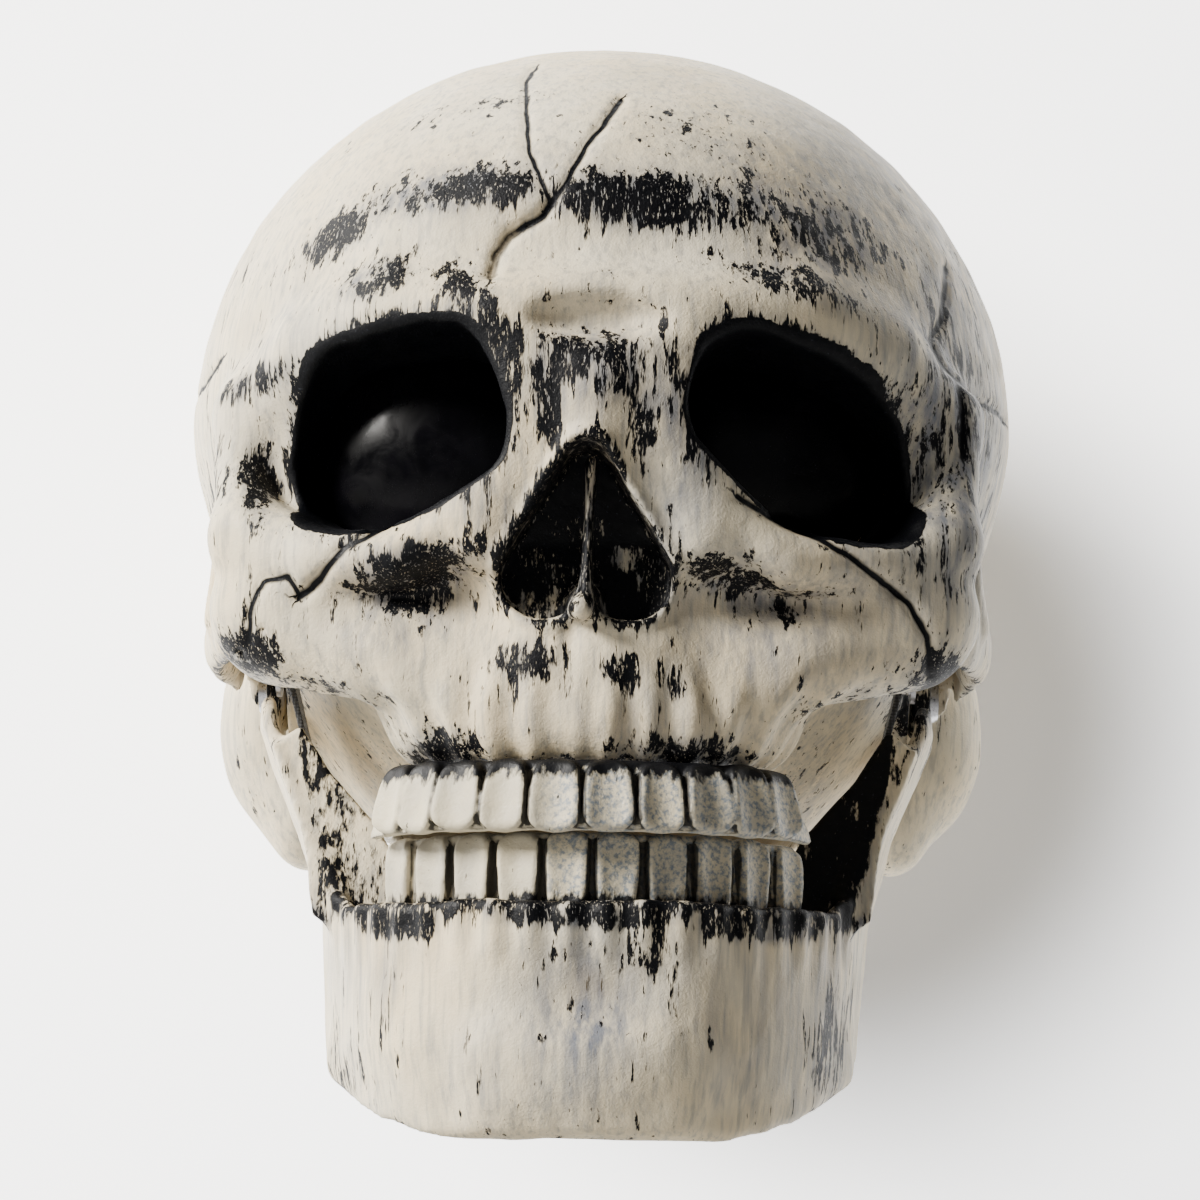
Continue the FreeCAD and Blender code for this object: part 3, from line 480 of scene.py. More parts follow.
# ======== paint marks
# (x, z, half width, half height, turn, strength) of each dry-brushed patch, seen from the front
SCRATCHED = [
    (-35, 110, 18, 6, 4, 1.0), (-64, 102, 10, 5, 25, 0.75), (12, 106, 21, 7, -4, 1.05),
    (50, 103, 17, 11, -20, 0.62), (-54, 87, 9, 5, 15, 0.8), (48, 86, 19, 5, -18, 0.6),
    (-27, 76, 6, 15, 35, 0.75), (-24, 56, 4, 9, 15, 0.6), (19, 56, 5, 14, 14, 0.8),
    (1, 64, 12, 9, 0, 0.75), (-11, 56, 3, 13, 8, 0.95), (13, 54, 3, 13, -8, 0.95),
    (-86, -2, 10, 5, 0, 0.9), (84, -6, 8, 6, 0, 0.9), (-82, 41, 4, 11, 6, 0.85),
    (-84, 66, 11, 4, 12, 0.6),
    (-42, 15, 15, 7, 10, 0.9), (35, 13, 12, 5, -25, 0.8), (-15, -5, 7, 5, 0, 0.72),
    (8, -7, 6, 4, 0, 0.6), (20, -10, 3, 4, 0, 0.5), (-30, 138, 20, 4, 8, 0.4),
    (22, 128, 22, 10, -8, 0.35), (88, 60, 14, 42, 0, 0.35), (-96, 50, 8, 30, 0, 0.25),
    (66, 28, 16, 8, -20, 0.4), (-62, 26, 12, 5, -20, 0.35), (-36, -26, 9, 5, 0, 0.9),
    (22, -27, 15, 4, 0, 0.9), (17, -72, 9, 9, 0, 0.35), (-48, -82, 5, 10, 0, 0.35),
    (2, -88, 10, 18, 0, 0.2), (-60, -100, 8, 12, 0, 0.3), (58, -92, 6, 18, 0, 0.42),
    (-44, -66, 10, 4, 0, 0.9), (40, -66, 14, 4, 0, 0.95), (0, -65, 22, 3, 0, 0.8),
]
# (x, z, half width, half height, turn, strength) of each blue-grey wash patch, seen from the front;
# the broad ones on the +x side, away from the key light, are also painted shade
WASH_AND_SHADE_PATCHES = [
    (88, 60, 22, 55, 0, 0.9), (50, 105, 24, 16, -20, 0.8), (0, -88, 13, 20, 0, 1.0),
    (30, -84, 12, 16, 0, 0.5), (-28, 44, 9, 26, 18, 0.7), (24, 44, 8, 24, -14, 0.8),
    (-46, 8, 18, 14, 0, 0.6), (40, 4, 20, 16, 0, 0.75), (0, 62, 14, 14, 0, 0.7),
    (-30, 112, 26, 9, 4, 0.5), (14, 108, 26, 10, -4, 0.5), (-70, 60, 14, 34, 10, 0.35),
    (8, -18, 30, 10, 0, 0.4), (56, -60, 12, 40, 0, 0.6), (-20, -100, 16, 12, 0, 0.4),
    (74, 118, 30, 38, -30, 0.6), (46, -92, 18, 24, 0, 0.55), (62, 12, 16, 22, 0, 0.5),
    (-52, -74, 12, 12, 0, 0.45),
]


def patches(p, table):
    """The strongest of the soft-edged patches at each point on the front."""
    total = np.zeros(len(p), np.float32)
    for x, z, wide, high, turn, strength in table:
        c, s = math.cos(math.radians(turn)), math.sin(math.radians(turn))
        u = ((p[:, 0] - x) * c + (p[:, 2] - z) * s) / wide
        v = ((p[:, 2] - z) * c - (p[:, 0] - x) * s) / high
        total = np.maximum(total, strength * np.exp(-(u * u + v * v) ** 1.5 * 0.7))
    return total * np.clip((20 - p[:, 1]) / 40, 0, 1)


def fade(value, full, none):
    """1 where value is at full, 0 where it is at none."""
    return np.clip((none - value) / (none - full), 0, 1)


def occlusion_shade(p, normals, form, reach):
    """How closed in each point is, from 0 on a flat or bulging surface; the materials paint it as
    shade.
    """
    return np.clip(1 - form(p + normals * reach) / reach, 0, 1)


def crack_marks(p):
    """Signed distance to the nearest crack, and 1 near one or 0 away from all."""
    nearest = np.full(len(p), 9.0, np.float32)
    for points, width, _ in CRACKS:
        signed = (crack_distance(p, points) + 0.35 * lumps(p, 2.5, 41)) / width
        nearest = np.where(np.abs(signed) < np.abs(nearest), signed, nearest)
    return nearest, (np.abs(nearest) < 2.6) * (p[:, 1] < 0)


def mark_cranium(piece):
    p, normals = points_of(piece), normals_of(piece)
    form, bore, depth, q = cranium_form(p, True)
    nose = nose_outline(p)
    inside = fade(form, -2.6, -1.6)
    # black on down-facing faces just above the bore: socket paint, and painted shade under the brow
    overhang_paint_and_shade = fade(bore, 3.0, 4.6) * fade(normals[:, 2], -0.3, -0.05) * fade(-p[:, 2], -66, -60)
    socket_paint = np.maximum(fade(bore, 0.9, 2.1), overhang_paint_and_shade)
    socket_paint = socket_paint * (depth < -60) * (depth > -125) * (p[:, 2] > 0)
    socket_paint = np.maximum(socket_paint, inside * fade(bore, 6, 8) * (depth > -96) * (depth < -58))
    nose_depth = fade(-p[:, 1], 107, 112) * (p[:, 1] < -85)
    ridge = np.exp(-((p[:, 0] + 1) / 2.6) ** 2) * fade(p[:, 2], 30, 44)
    brushed = 0.68 + 0.3 * lumps(p, 7, 61) - 0.14 * fade(p[:, 2], 22, 30)
    nose_paint = fade(nose, -1.2, 0.2) * nose_depth * (1 - 0.75 * ridge) * np.minimum(brushed, 1)
    rim = np.exp(-(np.maximum(bore, 0) / 4.5) ** 2) * (depth < -60) * (depth > -130)
    rim *= 0.45 + 0.55 * fade(-q[:, 2], -60, -40)
    nostril = np.exp(-(np.maximum(nose, 0) / 2.5) ** 2) * (p[:, 1] < -95)
    # downward faces get more dark strokes: painted shade under things
    under = fade(normals[:, 2], -0.9, -0.4) * (p[:, 1] < 20)
    gum = np.exp(-((p[:, 2] + 30) / 2.2) ** 2) * (p[:, 1] < -70)
    scratched = np.maximum(patches(p, SCRATCHED), 0.72 * rim)
    scratched = np.maximum(np.maximum(scratched, 0.7 * nostril), 0.8 * gum)
    # upward faces lose dark marks: lighter tops, painted light
    scratched = scratched + 0.25 - 0.35 * fade(-normals[:, 2], -0.9, -0.5)
    # the inside behind the mouth painted black: painted shade
    mouth_shade = inside * fade(p[:, 1], -55, -30) * fade(p[:, 2], 4, 16)
    signed, near = crack_marks(p)
    paint(piece, "black", np.maximum(np.maximum(socket_paint, nose_paint), mouth_shade))
    paint(piece, "scratched", np.maximum(scratched, 0.55 * under))
    paint(piece, "wash_and_shade", patches(p, WASH_AND_SHADE_PATCHES))
    paint(piece, "crack", signed)
    paint(piece, "crack_near", near * (1 - inside))
    paint(piece, "hollow", occlusion_shade(p, normals, lambda at: cranium_form(at, True)[0], 6))
    paint(piece, "inside", inside * (1 - socket_paint) * (1 - nose_paint) * (1 - mouth_shade))


def mark_jaw(piece):
    p, normals = points_of(piece), normals_of(piece)
    q = mirrored(p)
    bow = jaw_bow(p)
    inside = fade(bow, -3.4, -2.0)
    ramus = fade(-p[:, 1], 66, 74)
    scallop = 1.6 * np.cos(2 * math.pi * np.degrees(np.arctan2(p[:, 0], 5 - p[:, 1])) / 5.6)
    gum = np.exp(-((p[:, 2] + 62 + scallop) / 2.6) ** 2) * (p[:, 1] < -58)
    edge = np.exp(-((polygon(p[:, 1], p[:, 2], JAW_SIDE) + 1) / 3.0) ** 2) * fade(-p[:, 2], 80, 92)
    inner = fade(q[:, 0] - np.interp(p[:, 2], [-62, -20], [64.5, 76]), -1.5, 1.5) * ramus
    inner = inner * fade(-p[:, 2], 62, 70) * fade(p[:, 1], -45, -30)
    # black on the ramus's inner faces; the extra on the +x side, away from the key light, is painted
    # shade
    side_shade_share = np.where(p[:, 0] > 0, 0.62, 0.4) + 0.16 * lumps(p, 9, 62)
    paint(piece, "black", np.maximum(0.8 * inside * ramus * fade(-p[:, 2], -4, 8), inner) * side_shade_share)
    paint(piece, "scratched", 0.22 + np.maximum(np.maximum(patches(p, SCRATCHED), 0.85 * gum),
                                               0.42 * edge))
    paint(piece, "wash_and_shade", patches(p, WASH_AND_SHADE_PATCHES))
    paint(piece, "hollow", occlusion_shade(p, normals, jaw_bow, 6) * (1 - inside))
    paint(piece, "inside", inside * (1 - ramus))


def mark_teeth(piece, row):
    """Paint gathers at the gum; between the teeth and at the row's ends it is partly painted shade;
    the backs go black as painted shade.
    """
    p, normals = points_of(piece), normals_of(piece)
    rise = (p[:, 2] - row["edge"]) / (row["gum"] - row["edge"])
    form = teeth_field(row)
    # the backs of the teeth, inside the mouth, are painted black: painted shade
    behind = fade(bow_distance(p, row) + row["lean"] * rise, -0.8, 0.2)
    paint(piece, "gum", np.clip(rise, 0, 1.2))
    paint(piece, "hollow", np.clip(occlusion_shade(p, normals, form, 2.2) * 1.6, 0, 1))
    paint(piece, "back", behind)
    # blue-grey on the +x half: a wash, and painted shade on the side away from the key light
    paint(piece, "grey_wash_and_shade", fade(-p[:, 0], 6, 14))


# ======== meshing
BLOCK = 5                # fine voxels along a coarse one


def voxel_mesh(name, field, low, high, step, most):
    """Meshes a distance field inside a box, with fine voxels only near the surface and at most
    so many triangles."""
    coarse = step * BLOCK
    low = np.array(low, np.float32)
    count = np.ceil((np.array(high) - low) / coarse).astype(int)
    index = np.stack(np.meshgrid(*[np.arange(n) for n in count], indexing="ij"), -1)
    middles = low + (index.reshape(-1, 3) + 0.5) * coarse
    values = field(middles.astype(np.float32))
    dense = np.repeat(np.repeat(np.repeat(values.reshape(count), BLOCK, 0), BLOCK, 1), BLOCK, 2)
    dense = np.clip(dense, -coarse, coarse).astype(np.float32)
    near = np.abs(values) < coarse * 1.25 + 3
    cells = index.reshape(-1, 3)[near]
    inner = np.stack(np.meshgrid(*[np.arange(BLOCK)] * 3, indexing="ij"), -1).reshape(-1, 3)
    for part in np.array_split(cells, max(1, len(cells) // 4000)):
        fine = (part[:, None, :] * BLOCK + inner[None]).reshape(-1, 3)
        found = field((low + (fine + 0.5) * step).astype(np.float32))
        dense[fine[:, 0], fine[:, 1], fine[:, 2]] = np.clip(found, -coarse, coarse)
    grid = openvdb.FloatGrid(coarse)
    grid.copyFromArray(dense)
    points, quads = grid.convertToQuads(0.0)
    points = low + (points + 0.5) * step
    mesh = bpy.data.meshes.new(name)
    mesh.from_pydata((points * MM).tolist(), [], quads.tolist())
    mesh.update()
    piece = bpy.data.objects.new(name, mesh)
    bpy.context.scene.collection.objects.link(piece)
    if 2 * len(quads) > most:
        thin = piece.modifiers.new("thin", "DECIMATE")
        thin.ratio = most / (2 * len(quads))
        apply_modifiers(piece)
    piece.data.polygons.foreach_set("use_smooth", [True] * len(piece.data.polygons))
    print(name, len(piece.data.vertices), "points")
    return piece


def apply_modifiers(piece):
    """Bakes the modifiers into the piece's own mesh."""
    graph = bpy.context.evaluated_depsgraph_get()
    mesh = bpy.data.meshes.new_from_object(piece.evaluated_get(graph))
    piece.modifiers.clear()
    piece.data = mesh


def points_of(piece):
    """The piece's points in millimetres."""
    flat = np.empty(len(piece.data.vertices) * 3, np.float32)
    piece.data.vertices.foreach_get("co", flat)
    return flat.reshape(-1, 3) / MM


def normals_of(piece):
    flat = np.empty(len(piece.data.vertices) * 3, np.float32)
    piece.data.vertex_normals.foreach_get("vector", flat)
    return flat.reshape(-1, 3)


def paint(piece, name, values):
    layer = piece.data.attributes.new(name, "FLOAT", "POINT")
    layer.data.foreach_set("value", np.asarray(values, np.float32))


def fit_out(piece, body, slot, material, *nodes):
    """Gives a piece its material and rides it on its body, if any, in place of its CAD nodes."""
    piece.data.materials.clear()
    piece.data.materials.append(material)
    if body:
        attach(piece, body)
    if nodes:
        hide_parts(*nodes)
    return piece


# ======== materials
def shade(red, green, blue):
    """A colour as it looks on a screen, 0 to 255, in linear values."""
    return tuple(((v / 255 + 0.055) / 1.055) ** 2.4 if v > 10 else v / 255 / 12.92
                 for v in (red, green, blue)) + (1.0,)


NAVY_BLACK = shade(5, 6, 10)


class Paint:
    """Builds the nodes of one material; sizes are in metres, as the object's own coordinates."""

    def __init__(self, name, roughness, **sockets):
        self.material = bpy.data.materials.new(name)
        self.material.use_nodes = True
        self.tree = self.material.node_tree
        self.shader = self.tree.nodes["Principled BSDF"]
        self.shader.inputs["Roughness"].default_value = roughness
        for socket, value in sockets.items():
            self.shader.inputs[socket.replace("_", " ")].default_value = value
        self.place = self.node("TexCoord", {}, out="Object")

    def node(self, kind, inputs, out=0, **settings):
        made = self.tree.nodes.new("ShaderNode" + kind)
        for key, value in settings.items():
            setattr(made, key, value)
        for socket, value in inputs.items():
            if isinstance(value, bpy.types.NodeSocket):
                self.tree.links.new(value, made.inputs[socket])
            else:
                made.inputs[socket].default_value = value
        return made.outputs[out]

    def maths(self, operation, a, b=0.0, clamp=True):
        return self.node("Math", {0: a, 1: b}, operation=operation, use_clamp=clamp)

    def times(self, a, b, clamp=True):
        return self.maths("MULTIPLY", a, b, clamp)

    def plus(self, a, b, clamp=True):
        return self.maths("ADD", a, b, clamp)

    def less(self, a, b):
        return self.maths("SUBTRACT", a, b, False)

    def most(self, a, b):
        return self.maths("MAXIMUM", a, b)

    def attribute(self, name):
        return self.node("Attribute", {}, out="Fac", attribute_name=name)

    def ramp(self, value, low, high, start=0.0, end=1.0):
        return self.node("MapRange", {"Value": value, "From Min": low, "From Max": high,
                                      "To Min": start, "To Max": end})

    def noise(self, scale, detail=3.0, stretch=(1, 1, 1), turn=(0, 0, 0), bend=0.0):
        place = self.place
        if stretch != (1, 1, 1) or turn != (0, 0, 0):
            place = self.node("Mapping", {"Vector": place, "Scale": stretch, "Rotation": turn})
        return self.node("TexNoise", {"Vector": place, "Scale": scale, "Detail": detail,
                                      "Roughness": 0.6, "Distortion": bend})

    def mix(self, share, below, above):
        return self.node("Mix", {0: share, 6: below, 7: above}, out=2, data_type="RGBA")

    def bump(self, height, distance, strength=1.0, under=None):
        inputs = {"Height": height, "Distance": distance, "Strength": strength}
        if under is not None:
            inputs["Normal"] = under
        return self.node("Bump", inputs)

    def finish(self, colour, roughness, normal):
        for socket, value in (("Base Color", colour), ("Roughness", roughness), ("Normal", normal)):
            self.tree.links.new(value, self.shader.inputs[socket])
        return self.material


def latex_coat(paint, black):
    """Satin where there is bare latex, with the black paint standing a little proud."""
    relief = paint.plus(paint.times(paint.noise(1900, 2), 0.35), paint.noise(260, 3))
    roughness = paint.ramp(paint.noise(140, 3), 0.3, 0.7, 0.42, 0.62)
    normal = paint.bump(relief, 0.0006, 0.55)
    return roughness, paint.bump(black, 0.00025, 0.5, normal)


def cream_and_washes(paint, scratched, hollow):
    """Uneven cream, then stains, grey streaks, blue washes and painted shade, smudges, and brown
    painted shade in recesses.
    """
    colour = paint.mix(paint.ramp(paint.noise(16, 4), 0.38, 0.62), shade(238, 219, 180),
                       shade(231, 220, 194))
    for where, scale, detail, tall, low, high, strength, tint in (
            (None, 45, 4, 0.45, 0.5, 0.78, 1.0, shade(206, 194, 166)),
            (None, 620, 4, 0.07, 0.47, 0.68, 0.55, shade(146, 146, 142)),
            # blue-grey washes, partly painted shade
            (paint.attribute("wash_and_shade"), 300, 5, 0.16, 0.3, 0.6, 0.85, shade(82, 94, 116)),
            (paint.ramp(scratched, 0.38, 0.95), 380, 5, 0.22, 0.3, 0.6, 0.72, shade(84, 92, 108)),
            # brown in recesses, from the occlusion measure: painted shade
            (hollow, 90, 4, 1, 0.3, 0.62, 0.55, shade(122, 112, 98))):
        share = paint.ramp(paint.noise(scale, detail, (1, 1, tall)), low, high)
        if where is not None:
            share = paint.times(where, share)
        colour = paint.mix(paint.times(share, strength), colour, tint)
    return colour


STROKE_GAIN = 0.31       # how much further a mark of 1 lets the strokes spread through their noise


def black_cover(paint, scratched, hollow):
    """Where black paint lies: dry-brushed strokes, nicks, solid areas and cracks."""
    uneven = paint.ramp(paint.noise(75, 4, (1, 1, 0.6)), 0.3, 0.62, 0.42, 1.25)
    # strokes thicken in recesses: black paint gathering there, and painted shade from the occlusion
    # measure
    dense = paint.plus(paint.times(scratched, uneven, False), paint.times(hollow, 0.25), False)
    spread = paint.times(dense, STROKE_GAIN, False)
    strokes = []
    for scale, tall, turn, sparse in ((300, 0.2, 0.12, 0.72), (820, 0.11, -0.2, 0.74)):
        grain = paint.noise(scale, 4, (1, 1, tall), (0, turn, 0), 0.1)
        strokes.append(paint.times(paint.less(grain, paint.less(sparse, spread)), 22.0))
    scuffs = paint.ramp(paint.noise(2000, 2, (1, 1, 0.25)), 0.30, 0.40)
    nicks = paint.ramp(paint.noise(150, 5, (1, 1, 0.5), (0, 0.5, 0.3), 1.2), 0.715, 0.73)
    ragged = paint.plus(paint.attribute("black"),
                        paint.times(paint.noise(520, 4, (1, 1, 0.3)), 0.9), False)
    away = paint.maths("ABSOLUTE", paint.attribute("crack"), clamp=False)
    line = paint.times(paint.ramp(away, 0.42, 0.95, 1.0, 0.0), paint.attribute("crack_near"))
    cover = paint.times(paint.most(*strokes), scuffs)
    for layer in (nicks, paint.ramp(ragged, 0.82, 0.92), line):
        cover = paint.most(cover, layer)
    return cover


def bone_latex():
    paint = Paint("painted_bone_latex", 0.5, Specular_IOR_Level=0.16)
    scratched, hollow = paint.attribute("scratched"), paint.attribute("hollow")
    cover = black_cover(paint, scratched, hollow)
    speck = paint.times(paint.ramp(paint.noise(1500, 3), 0.66, 0.7), 0.5)
    colour = paint.mix(cover, cream_and_washes(paint, scratched, hollow),
                       paint.mix(speck, NAVY_BLACK, shade(58, 61, 70)))
    raw = paint.mix(paint.ramp(paint.noise(60, 4), 0.35, 0.65), shade(176, 158, 126),
                    shade(146, 130, 104))
    return paint.finish(paint.mix(paint.attribute("inside"), colour, raw), *latex_coat(paint, cover))


def teeth_latex():
    paint = Paint("painted_teeth_latex", 0.4, Specular_IOR_Level=0.3)
    colour = paint.mix(paint.ramp(paint.noise(60, 4), 0.35, 0.65), shade(214, 202, 172),
                       shade(192, 184, 164))
    # blue-grey wash that is also painted shade on the +x half
    grey = paint.times(paint.ramp(paint.noise(900, 4), 0.44, 0.62), paint.attribute("grey_wash_and_shade"))
    colour = paint.mix(paint.times(grey, 0.8), colour, shade(104, 120, 136))
    ragged = paint.times(paint.noise(420, 4, (1, 1, 0.4)), 0.5)
    cover = paint.ramp(paint.plus(paint.attribute("gum"), ragged, False), 0.97, 1.05)
    # black between the teeth from the occlusion measure: paint, and painted shade
    crease = paint.ramp(paint.plus(paint.attribute("hollow"), ragged), 0.62, 0.95)
    specks = paint.ramp(paint.noise(620, 4, (1, 1, 0.35)), 0.68, 0.72)
    # the backs go black: painted shade inside the mouth
    for layer in (paint.times(crease, 0.9), specks, paint.attribute("back")):
        cover = paint.most(cover, layer)
    return paint.finish(paint.mix(cover, colour, NAVY_BLACK), *latex_coat(paint, cover))


def lens_plastic():
    paint = Paint("gloss_lens_plastic", 0.2, Specular_IOR_Level=0.14)
    colour = paint.mix(paint.ramp(paint.noise(70, 3), 0.4, 0.7), shade(4, 4, 6), shade(12, 11, 15))
    smears = paint.ramp(paint.noise(120, 5, bend=0.8), 0.35, 0.7, 0.16, 0.36)
    return paint.finish(colour, smears, paint.bump(paint.noise(40, 2), 0.0004, 0.25))


def moulded(name, dark, light, low, high):
    """Plastic with a fine mottled skin."""
    paint = Paint(name, 0.5)
    grain = paint.noise(900, 4)
    colour = paint.mix(paint.ramp(paint.noise(112.5, 3), 0.35, 0.68), dark, light)
    return paint.finish(colour, paint.ramp(grain, 0.3, 0.7, low, high),
                        paint.bump(grain, 0.0003, 0.5))


def leather():
    paint = Paint("black_cup_leather", 0.45)
    cells = paint.node("TexVoronoi", {"Vector": paint.place, "Scale": 900.0},
                       out="Distance", feature="DISTANCE_TO_EDGE")
    grain = paint.ramp(cells, 0.02, 0.18)
    wear = paint.ramp(paint.noise(120, 5), 0.5, 0.75)
    colour = paint.mix(grain, shade(26, 22, 19), shade(52, 46, 41))
    colour = paint.mix(paint.times(wear, 0.5), colour, shade(98, 84, 70))
    return paint.finish(colour, paint.ramp(wear, 0, 1, 0.38, 0.62), paint.bump(grain, 0.0004, 0.6))


def fabric(name, dark, light, thread, stretch=(1, 1, 1), sheen=0.3):
    """Woven cloth: crossed threads of the given spacing, with lint."""
    paint = Paint(name, 0.85, Sheen_Weight=sheen)
    weave = None
    for axis in ("X", "Y", "Z"):
        place = paint.node("Mapping", {"Vector": paint.place, "Scale": stretch})
        wave = paint.node("TexWave", {"Vector": place, "Scale": thread, "Distortion": 0.6,
                                      "Detail": 1.0, "Detail Scale": 3.0},
                          out="Fac", bands_direction=axis)
        weave = wave if weave is None else paint.times(paint.plus(weave, 0.15),
                                                       paint.plus(wave, 0.25))
    lint = paint.ramp(paint.noise(700, 4), 0.6, 0.75)
    colour = paint.mix(paint.ramp(weave, 0.05, 0.7), dark, light)
    colour = paint.mix(paint.times(lint, 0.35), colour, shade(96, 96, 98))
    return paint.finish(colour, paint.ramp(weave, 0, 1, 0.92, 0.75), paint.bump(weave, 0.0004, 0.8))


def brushed_steel():
    paint = Paint("brushed_steel", 0.3, Metallic=1.0)
    lines = paint.noise(1400, 3, (1, 0.06, 1), (0.3, 0, 0.2))
    stain = paint.ramp(paint.noise(160, 4), 0.5, 0.75)
    colour = paint.mix(paint.ramp(lines, 0.3, 0.7), shade(176, 176, 180), shade(208, 208, 210))
    colour = paint.mix(paint.times(stain, 0.5), colour, shade(140, 132, 122))
    return paint.finish(colour, paint.ramp(lines, 0.3, 0.7, 0.24, 0.44),
                        paint.bump(lines, 0.0001, 0.5))


BONE, TEETH, LENS = bone_latex(), teeth_latex(), lens_plastic()
RING = moulded("lens_ring_plastic", shade(24, 24, 26), shade(42, 42, 44), 0.45, 0.7)
NYLON = moulded("washer_nylon", shade(214, 210, 198), shade(232, 229, 220), 0.35, 0.5)
FOAM = fabric("foam_cover_cloth", shade(48, 48, 52), shade(88, 88, 92), 320)
WEBBING = fabric("nylon_webbing", shade(18, 18, 21), shade(52, 52, 56), 260, (1, 1, 1.6))
ELASTIC = fabric("black_elastic", shade(20, 20, 21), shade(60, 60, 61), 380)
THREAD = fabric("stitching_thread", shade(120, 118, 110), shade(176, 172, 160), 900, sheen=0.1)
LEATHER, STEEL = leather(), brushed_steel()

for node_names, material in (
        (("eye_lens_left", "eye_lens_right"), LENS),
        (("lens_ring_left", "lens_ring_right"), RING),
        (("hinge_washer_left", "hinge_washer_right"), NYLON),
        (("hinge_plate_left", "hinge_plate_right", "hinge_post_left", "hinge_post_right",
          "hinge_screw_left", "hinge_screw_right", "jaw_plate_left", "jaw_plate_right",
          "band_anchors", "jaw_band_pins", "strap_rivets", "chin_rivets"), STEEL)):
    for node_name in node_names:
        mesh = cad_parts[node_name].data
        mesh.materials.clear()
        mesh.materials.append(material)


# ======== castings
cranium = voxel_mesh("cranium_skin", cranium_field, (-118, -130, -52), (118, 136, 182), 1.2,
                     185000)
mark_cranium(cranium)
fit_out(cranium, SKULL, "bone_latex", BONE, "cranium_shell")
jaw = voxel_mesh("jaw_skin", jaw_field, (-98, -122, -128), (98, 20, 16), 1.0, 150000)
mark_jaw(jaw)
fit_out(jaw, JAW, "bone_latex", BONE, "jaw_shell")
upper_teeth = voxel_mesh("upper_tooth_row", teeth_field(UPPER_ROW), (-66, -120, -50),
                         (66, -74, -24), 0.6, 120000)
mark_teeth(upper_teeth, UPPER_ROW)
fit_out(upper_teeth, SKULL, "teeth_latex", TEETH, "upper_teeth")
lower_teeth = voxel_mesh("lower_tooth_row", teeth_field(LOWER_ROW), (-66, -116, -68),
                         (66, -68, -42), 0.6, 120000)
mark_teeth(lower_teeth, LOWER_ROW)
fit_out(lower_teeth, JAW, "teeth_latex", TEETH, "lower_teeth")


# ======== straps and bands
# across and thickness, as shares of the half width and half thickness, over one face of a strap
STRAP_SECTION = [(-1, 0), (-0.985, 0.7), (-0.94, 1.0), (-0.87, 0.8), (-0.5, 0.84), (0, 0.86),
                 (0.5, 0.84), (0.87, 0.8), (0.94, 1.0), (0.985, 0.7), (1, 0)]


def new_piece(name, points, faces):
    """A closed mesh from points in millimetres, its faces turned outwards."""
    mesh = bpy.data.meshes.new(name)
    mesh.from_pydata([tuple(float(v) * MM for v in point) for point in points], [], faces)
    shape = bmesh.new()
    shape.from_mesh(mesh)
    bmesh.ops.recalc_face_normals(shape, faces=shape.faces)
    shape.to_mesh(mesh)
    shape.free()
    mesh.polygons.foreach_set("use_smooth", [True] * len(mesh.polygons))
    piece = bpy.data.objects.new(name, mesh)
    bpy.context.scene.collection.objects.link(piece)
    return piece


def skin(rings, closed=False):
    """Points and faces that join rings of equal length into one form."""
    n, count = len(rings[0]), len(rings)
    faces = []
    for i in range(count if closed else count - 1):
        a, b = i * n, (i + 1) % count * n
        faces += [(a + j, a + (j + 1) % n, b + (j + 1) % n, b + j) for j in range(n)]
    if not closed:
        faces += [tuple(range(n)), tuple(range((count - 1) * n, count * n))]
    return [point for ring in rings for point in ring], faces


def resampled(points, step):
    """The same line with its points evenly spaced."""
    points = np.array(points, float)
    run = np.concatenate([[0], np.cumsum(np.linalg.norm(np.diff(points, axis=0), axis=1))])
    places = np.linspace(0, run[-1], max(4, int(run[-1] / step)))
    return np.stack([np.interp(places, run, points[:, k]) for k in range(3)], 1)


def ribbon(name, line, half, thick, rib=1.3):
    """A flat woven strap along a line; half is the vector from its middle to one edge."""
    line = resampled(line, rib)
    half = np.array(half, float)
    along = np.gradient(line, axis=0)
    out = np.cross(along, half)
    out /= np.linalg.norm(out, axis=1)[:, None]
    section = STRAP_SECTION + [(a, -t) for a, t in STRAP_SECTION[-2:0:-1]]
    rings = []
    for i, (middle, away) in enumerate(zip(line, out)):
        from_end = min(i, len(line) - 1 - i)
        narrow = 1 - 0.05 * max(0, 3 - from_end)
        raised = thick / 2 * (1 - 0.07 * (i % 2))
        rings.append([middle + half * a * narrow + away * t * raised for a, t in section])
    return new_piece(name, *skin(rings))


STITCH_LONG, STITCH_GAP, THREAD_RADIUS = 2.4, 1.2, 0.38
# how far along a stitch, its width and its lift as shares of the thread's radius
STITCH_SHAPE = [(0, 0.35, 0), (0.18, 1, 0.5), (0.5, 1.08, 0.5), (0.82, 1, 0.5), (1, 0.35, 0)]


def stitches(name, rows):
    """Sewn thread: each row is a line on the cloth with the way the cloth faces along it."""
    points, faces = [], []
    for line, out in rows:
        places = resampled(line, STITCH_LONG + STITCH_GAP)
        outs = resampled(np.broadcast_to(out, np.shape(line)), 1) if np.ndim(out) == 2 else None
        for i, (a, b) in enumerate(zip(places, places[1:])):
            away = np.array(out if outs is None else outs[
                min(len(outs) - 1, i * len(outs) // len(places))], float)
            away /= np.linalg.norm(away)
            along = (b - a) / np.linalg.norm(b - a)
            side = np.cross(along, away)
            rings = []
            for reach, wide, lift in STITCH_SHAPE:
                middle = a + along * STITCH_LONG * reach + away * THREAD_RADIUS * lift
                rings.append([middle + THREAD_RADIUS * wide * (math.cos(t) * side + math.sin(t) * away)
                              for t in np.linspace(0, 2 * math.pi, 6, endpoint=False)])
            found, joined = skin(rings)
            faces += [tuple(k + len(points) for k in face) for face in joined]
            points += found
    return new_piece(name, points, faces)


